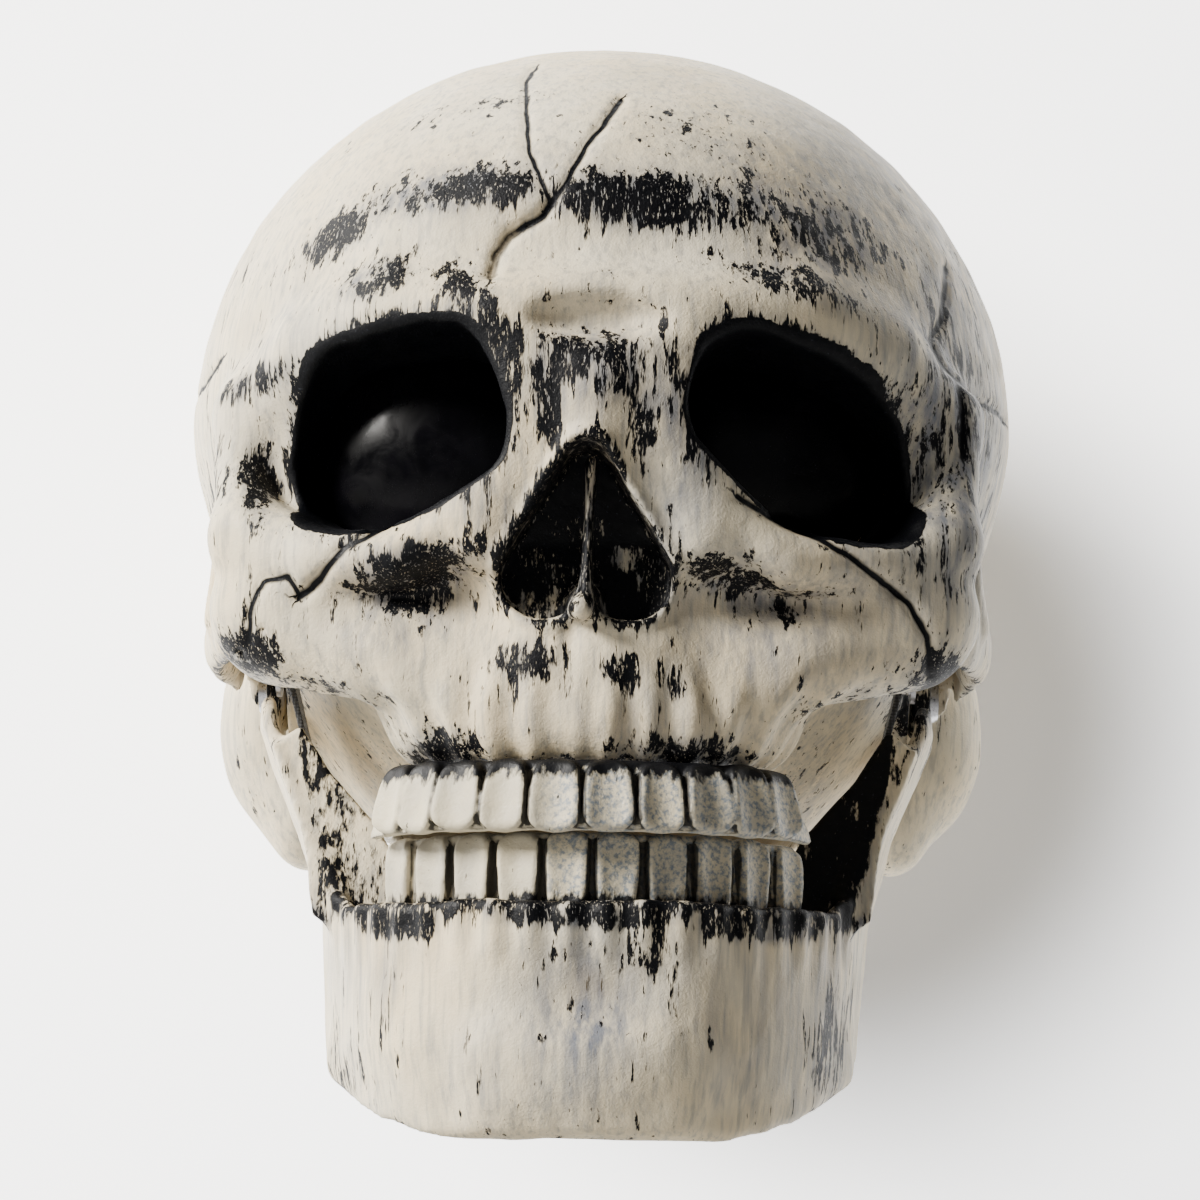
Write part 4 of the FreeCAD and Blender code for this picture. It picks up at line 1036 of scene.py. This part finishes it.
STRAP_MIDDLE, STRAP_BACK, STRAP_THICK = 78.5, 5.0, 1.6


def strap_line(side, wide, long, inset=0.0):
    """From the temple round the back of the head to past its middle."""
    first = math.asin((-32 - STRAP_BACK) / long)
    last = math.pi / 2 + math.asin(20 / wide)
    return [(side * (wide - inset) * math.cos(t), STRAP_BACK + (long - inset) * math.sin(t),
             STRAP_MIDDLE) for t in np.linspace(first, last, 90)]


strap_rows = []
for side, label, wide, long in ((1, "left", 89.9, 103.9), (-1, "right", 88.0, 102.0)):
    strap = ribbon(f"webbing_strap_{label}", strap_line(side, wide, long), (0, 0, 12.5), STRAP_THICK)
    fit_out(strap, SKULL, "webbing", WEBBING, f"head_strap_{label}")
    for level in (-10, 10):
        inner = strap_line(side, wide, long, STRAP_THICK / 2)
        strap_rows.append(([(x, y, z + level) for x, y, z in inner[62:]], (0, -1, 0)))
    for x, y, z in (inner[62], inner[-2]):
        strap_rows.append(([(x, y, z - 10), (x, y, z + 10)], (0, -1, 0)))
fit_out(stitches("strap_stitching", strap_rows), SKULL, "webbing", THREAD)

BAND_TOP, BAND_FOOT = (78.8, -43.5, 4.0), (59.3, -43.5, -72.0)
for side, label in ((1, "left"), (-1, "right")):
    ends = [(side * x, y, z) for x, y, z in (BAND_TOP, BAND_FOOT)]
    band = ribbon(f"elastic_band_{label}", ends, (0, 6, 0), 1.6, 0.9)
    fit_out(band, None, "elastic", ELASTIC, f"return_band_{label}")
    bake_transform(band)

CUP_CENTRE, CUP_RADII = (0, -68, -78), (33, 25, 20)
sling = [(44.7, -68, -66)] + [
    (44.7 * math.cos(t), -68, -78 - 21.2 * math.sin(t)) for t in np.linspace(0, math.pi, 60)
] + [(-44.7, -68, -66)]
chin_strap = ribbon("chin_sling_strap", sling, (0, 10, 0), STRAP_THICK)
fit_out(chin_strap, JAW, "webbing", WEBBING, "chin_strap")


# ======== chin cup and pads
def cup_field(p):
    """A moulded leather bowl with a rolled rim."""
    outer = ellipsoid(p, CUP_CENTRE, CUP_RADII)
    bowl = np.maximum(np.maximum(outer, -outer - 2.0), p[:, 2] - CUP_CENTRE[2])
    rim = np.hypot(outer + 1.4, p[:, 2] - CUP_CENTRE[2] + 1.2) - 1.4
    crease = 0.3 * np.exp(-((p[:, 2] - CUP_CENTRE[2] + 4.6) / 0.7) ** 2)
    return join(bowl, rim, 0.8) + 0.15 * lumps(p, 7, 51) + crease


cup = voxel_mesh("chin_cup_bowl", cup_field, (-38, -98, -102), (38, -38, -74), 0.9, 40000)
fit_out(cup, JAW, "cup_leather", LEATHER, "chin_cup")
cup_edge = [(32.2 * math.cos(t), -68 + 24.3 * math.sin(t), -82.6)
            for t in np.linspace(0, 2 * math.pi, 90)]
cup_outward = np.array([(x, y + 68, 0) for x, y, _ in cup_edge])
fit_out(stitches("chin_stitching", [(cup_edge, cup_outward)]), JAW, "cup_leather", THREAD)


def move_points(piece, points):
    piece.data.vertices.foreach_set("co", (points * MM).astype(np.float32).ravel())
    piece.data.update()


PAD_SHRINK = 1.0         # taken off each pad before it swells
PAD_PRESSURE, PAD_STEPS = 4, 20
SEAM_WIDTH, SEAM_DEPTH = 1.6, 1.3


def stuffed(name, node, centre, radii, margin, cap, cell, seams=()):
    """Swells a CAD pad with cloth, keeps it off the wall that it is glued to, and sews its seams."""
    piece = bpy.data.objects.new(name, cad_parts[node].data.copy())
    bpy.context.scene.collection.objects.link(piece)
    cells = piece.modifiers.new("cells", "REMESH")
    cells.mode, cells.voxel_size = "VOXEL", cell * MM
    apply_modifiers(piece)
    start = points_of(piece) - normals_of(piece) * PAD_SHRINK
    move_points(piece, start)
    cloth = piece.modifiers.new("cloth", "CLOTH")
    cloth.settings.use_pressure = True
    cloth.settings.uniform_pressure_force = PAD_PRESSURE
    cloth.settings.effector_weights.gravity = 0
    for step in range(1, PAD_STEPS + 1):
        bpy.context.scene.frame_set(step)
    apply_modifiers(piece)
    bpy.context.scene.frame_set(1)
    move = points_of(piece) - start
    far = np.linalg.norm(move, axis=1)[:, None]
    move_points(piece, start + move * np.minimum(1, cap / np.maximum(far, 1e-6)))
    finer = piece.modifiers.new("finer", "SUBSURF")
    finer.levels = finer.render_levels = 1
    apply_modifiers(piece)
    points = points_of(piece)
    groove = np.zeros(len(points), np.float32)
    for axis, place in seams:
        groove = np.maximum(groove, np.exp(-((points[:, axis] - place) / SEAM_WIDTH) ** 2))
    points = points - normals_of(piece) * SEAM_DEPTH * groove[:, None]
    over = np.maximum(ellipsoid(points, centre, radii) + margin, 0)
    away = (points - vec(*centre)) / vec(*radii) ** 2
    away /= np.linalg.norm(away, axis=1)[:, None]
    move_points(piece, points - away * over[:, None])
    piece.data.polygons.foreach_set("use_smooth", [True] * len(piece.data.polygons))
    return piece


PADS = {  # CAD node: name, seams as (axis, place), then the edge as (two axes, the solved axis, box)
    "forehead_pad": ("forehead_cushion", [(0, -22), (0, 0), (0, 22)],
                     (0, 2, 1, -1, -45, 45, 104, 138)),
    "crown_pad": ("crown_cushion", [(1, -18), (1, 5), (1, 28)], (0, 1, 2, 1, -42, 42, -40, 50)),
    "nape_pad": ("nape_cushion", [(0, -22), (0, 0), (0, 22)], (0, 2, 1, 1, -44, 44, 72, 112)),
    "temple_pad_left": ("temple_cushion_left", [(1, -21), (1, 1)],
                        (1, 2, 0, 1, -42, 22, 70, 112)),
    "temple_pad_right": ("temple_cushion_right", [(1, -21), (1, 1)],
                         (1, 2, 0, -1, -42, 22, 70, 112)),
}
PIPING_DEPTH, PIPING_RADIUS, PIPING_CORNER = 9.8, 1.0, 6.0


def piping(edge):
    """A corded seam round a pad, half way through its thickness."""
    a, b, c, sign, a0, a1, b0, b1 = edge
    flat = []
    for ca, cb, first in ((a1, b1, 0), (a0, b1, 90), (a0, b0, 180), (a1, b0, 270)):
        inward_a = math.copysign(PIPING_CORNER, ca - (a0 + a1) / 2)
        inward_b = math.copysign(PIPING_CORNER, cb - (b0 + b1) / 2)
        for t in np.radians(np.linspace(first, first + 90, 7)):
            flat.append((ca - inward_a + PIPING_CORNER * math.cos(t),
                         cb - inward_b + PIPING_CORNER * math.sin(t)))
    flat = resampled([(u, v, 0) for u, v in flat + flat[:1]], 2.5)[:-1]
    radii = [r - PIPING_DEPTH for r in VAULT_RADII]
    line = np.zeros((len(flat), 3))
    line[:, a], line[:, b] = flat[:, 0], flat[:, 1]
    left = 1 - sum(((line[:, k] - VAULT_CENTRE[k]) / radii[k]) ** 2 for k in (a, b))
    line[:, c] = VAULT_CENTRE[c] + sign * radii[c] * np.sqrt(np.maximum(left, 0))
    ahead = np.roll(line, -1, 0) - np.roll(line, 1, 0)
    ahead /= np.linalg.norm(ahead, axis=1)[:, None]
    out = (line - vec(*VAULT_CENTRE)) / np.array(radii) ** 2
    out -= ahead * (out * ahead).sum(1)[:, None]
    out /= np.linalg.norm(out, axis=1)[:, None]
    side = np.cross(ahead, out)
    return skin([[line[i] + PIPING_RADIUS * (math.cos(t) * side[i] + math.sin(t) * out[i])
                  for t in np.linspace(0, 2 * math.pi, 8, endpoint=False)]
                 for i in range(len(line))], True)


cord_points, cord_faces = [], []
for node_name, (name, seams, edge) in PADS.items():
    pad = stuffed(name, node_name, VAULT_CENTRE, VAULT_RADII, 4.2, 2.6, 4.0, seams)
    fit_out(pad, SKULL, "foam", FOAM, node_name)
    found, joined = piping(edge)
    cord_faces += [tuple(k + len(cord_points) for k in face) for face in joined]
    cord_points += found
fit_out(new_piece("pad_piping", cord_points, cord_faces), SKULL, "foam", WEBBING)
cup_pad = stuffed("chin_cushion", "chin_cup_pad", CUP_CENTRE, CUP_RADII, 2.4, 1.6, 3.0)
fit_out(cup_pad, JAW, "foam", FOAM, "chin_cup_pad")


# ======== stage, light and camera
AIM = vec(0, 5, 27)
CAMERA_TURN, CAMERA_RISE, CAMERA_ROLL = 1.0, -9.0, 0.8
CAMERA_AWAY, LENS_MM, SENSOR_MM = 850.0, 94.1, 36.0


def place_camera():
    data = bpy.data.cameras.new("camera")
    data.lens, data.sensor_width = LENS_MM, SENSOR_MM
    camera = bpy.data.objects.new("camera", data)
    bpy.context.scene.collection.objects.link(camera)
    turn, rise = math.radians(CAMERA_TURN), math.radians(CAMERA_RISE)
    back = vec(math.sin(turn) * math.cos(rise), -math.cos(turn) * math.cos(rise), math.sin(rise))
    camera.location = (AIM + back * CAMERA_AWAY) * MM
    camera.rotation_mode = "QUATERNION"
    look = Vector(-back).to_track_quat("-Z", "Y")
    camera.rotation_quaternion = look @ Quaternion((0, 0, 1), math.radians(CAMERA_ROLL))
    bpy.context.scene.camera = camera


place_camera()


def area_light(name, place, size, watts, colour=(1, 1, 1)):
    data = bpy.data.lights.new(name, "AREA")
    data.size, data.energy, data.color = size, watts, colour
    light = bpy.data.objects.new(name, data)
    light.location = place
    light.rotation_mode = "QUATERNION"
    light.rotation_quaternion = (Vector(AIM * MM) - Vector(place)).to_track_quat("-Z", "Y")
    bpy.context.scene.collection.objects.link(light)


def stage_sheet(name, corners, material):
    mesh = bpy.data.meshes.new(name)
    mesh.from_pydata(corners, [], [(0, 1, 2, 3)])
    sheet = bpy.data.objects.new(name, mesh)
    bpy.context.scene.collection.objects.link(sheet)
    sheet.data.materials.append(material)


def paper(name, white, glow, painted_shadow_centre=None):
    """Paper that glows and shows from its front only; round one place its glow fades, a painted
    shadow.
    """
    material = bpy.data.materials.new(name)
    material.use_nodes = True
    nodes, links = material.node_tree.nodes, material.node_tree.links
    shader = nodes["Principled BSDF"]
    shader.inputs["Base Color"].default_value = (white, white, white, 1)
    shader.inputs["Roughness"].default_value = 0.9
    shader.inputs["Emission Color"].default_value = (1, 1, 1, 1)
    shader.inputs["Emission Strength"].default_value = glow
    # painted shadow: the glow falls off round this centre, beside the object
    if painted_shadow_centre:
        place, shift, round_off, fall = (nodes.new("ShaderNode" + kind) for kind in
                                         ("TexCoord", "Mapping", "TexGradient", "MapRange"))
        shift.inputs["Scale"].default_value = (1 / PAINTED_SHADOW_REACH,) * 3
        shift.inputs["Location"].default_value = tuple(-v / PAINTED_SHADOW_REACH for v in painted_shadow_centre)
        round_off.gradient_type, fall.interpolation_type = "SPHERICAL", "SMOOTHSTEP"
        for socket, value in (("From Min", 0.1), ("From Max", 0.62), ("To Min", glow),
                              ("To Max", 0.12)):
            fall.inputs[socket].default_value = value
        links.new(place.outputs["Object"], shift.inputs[0])
        links.new(shift.outputs[0], round_off.inputs[0])
        links.new(round_off.outputs["Fac"], fall.inputs["Value"])
        links.new(fall.outputs[0], shader.inputs["Emission Strength"])
    side, clear, mix = (nodes.new("ShaderNode" + kind) for kind in
                        ("NewGeometry", "BsdfTransparent", "MixShader"))
    links.new(side.outputs["Backfacing"], mix.inputs[0])
    links.new(shader.outputs[0], mix.inputs[1])
    links.new(clear.outputs[0], mix.inputs[2])
    links.new(mix.outputs[0], nodes["Material Output"].inputs[0])
    return material


BACKDROP, FLOOR = 0.139, -0.3
PAINTED_SHADOW_REACH = 0.2          # metres over which the glow's round gradient, the painted shadow, runs
# the backdrop glows, but less round a spot right of the head: a painted shadow
stage_sheet("backdrop", [(-0.8, BACKDROP, FLOOR), (0.8, BACKDROP, FLOOR), (0.8, BACKDROP, 0.8),
                         (-0.8, BACKDROP, 0.8)],
            paper("glowing_paper_painted_shadow", 0.9, 3.2, (0.062, BACKDROP, 0.01)))
stage_sheet("floor", [(-3, -3, FLOOR), (3, -3, FLOOR), (3, 0.2, FLOOR), (-3, 0.2, FLOOR)],
            paper("grey_floor", 0.3, 0.0))
area_light("key_light", (-1.5, -0.8, 0.95), 0.6, 114, (1, 0.97, 0.92))
area_light("fill_light", (0.5, -1.8, 0.0), 1.4, 1, (0.95, 0.97, 1))
world = bpy.data.worlds.new("world")
world.use_nodes = True
world.node_tree.nodes["Background"].inputs["Color"].default_value = (1, 1, 1, 1)
world.node_tree.nodes["Background"].inputs["Strength"].default_value = 0.07
bpy.context.scene.world = world
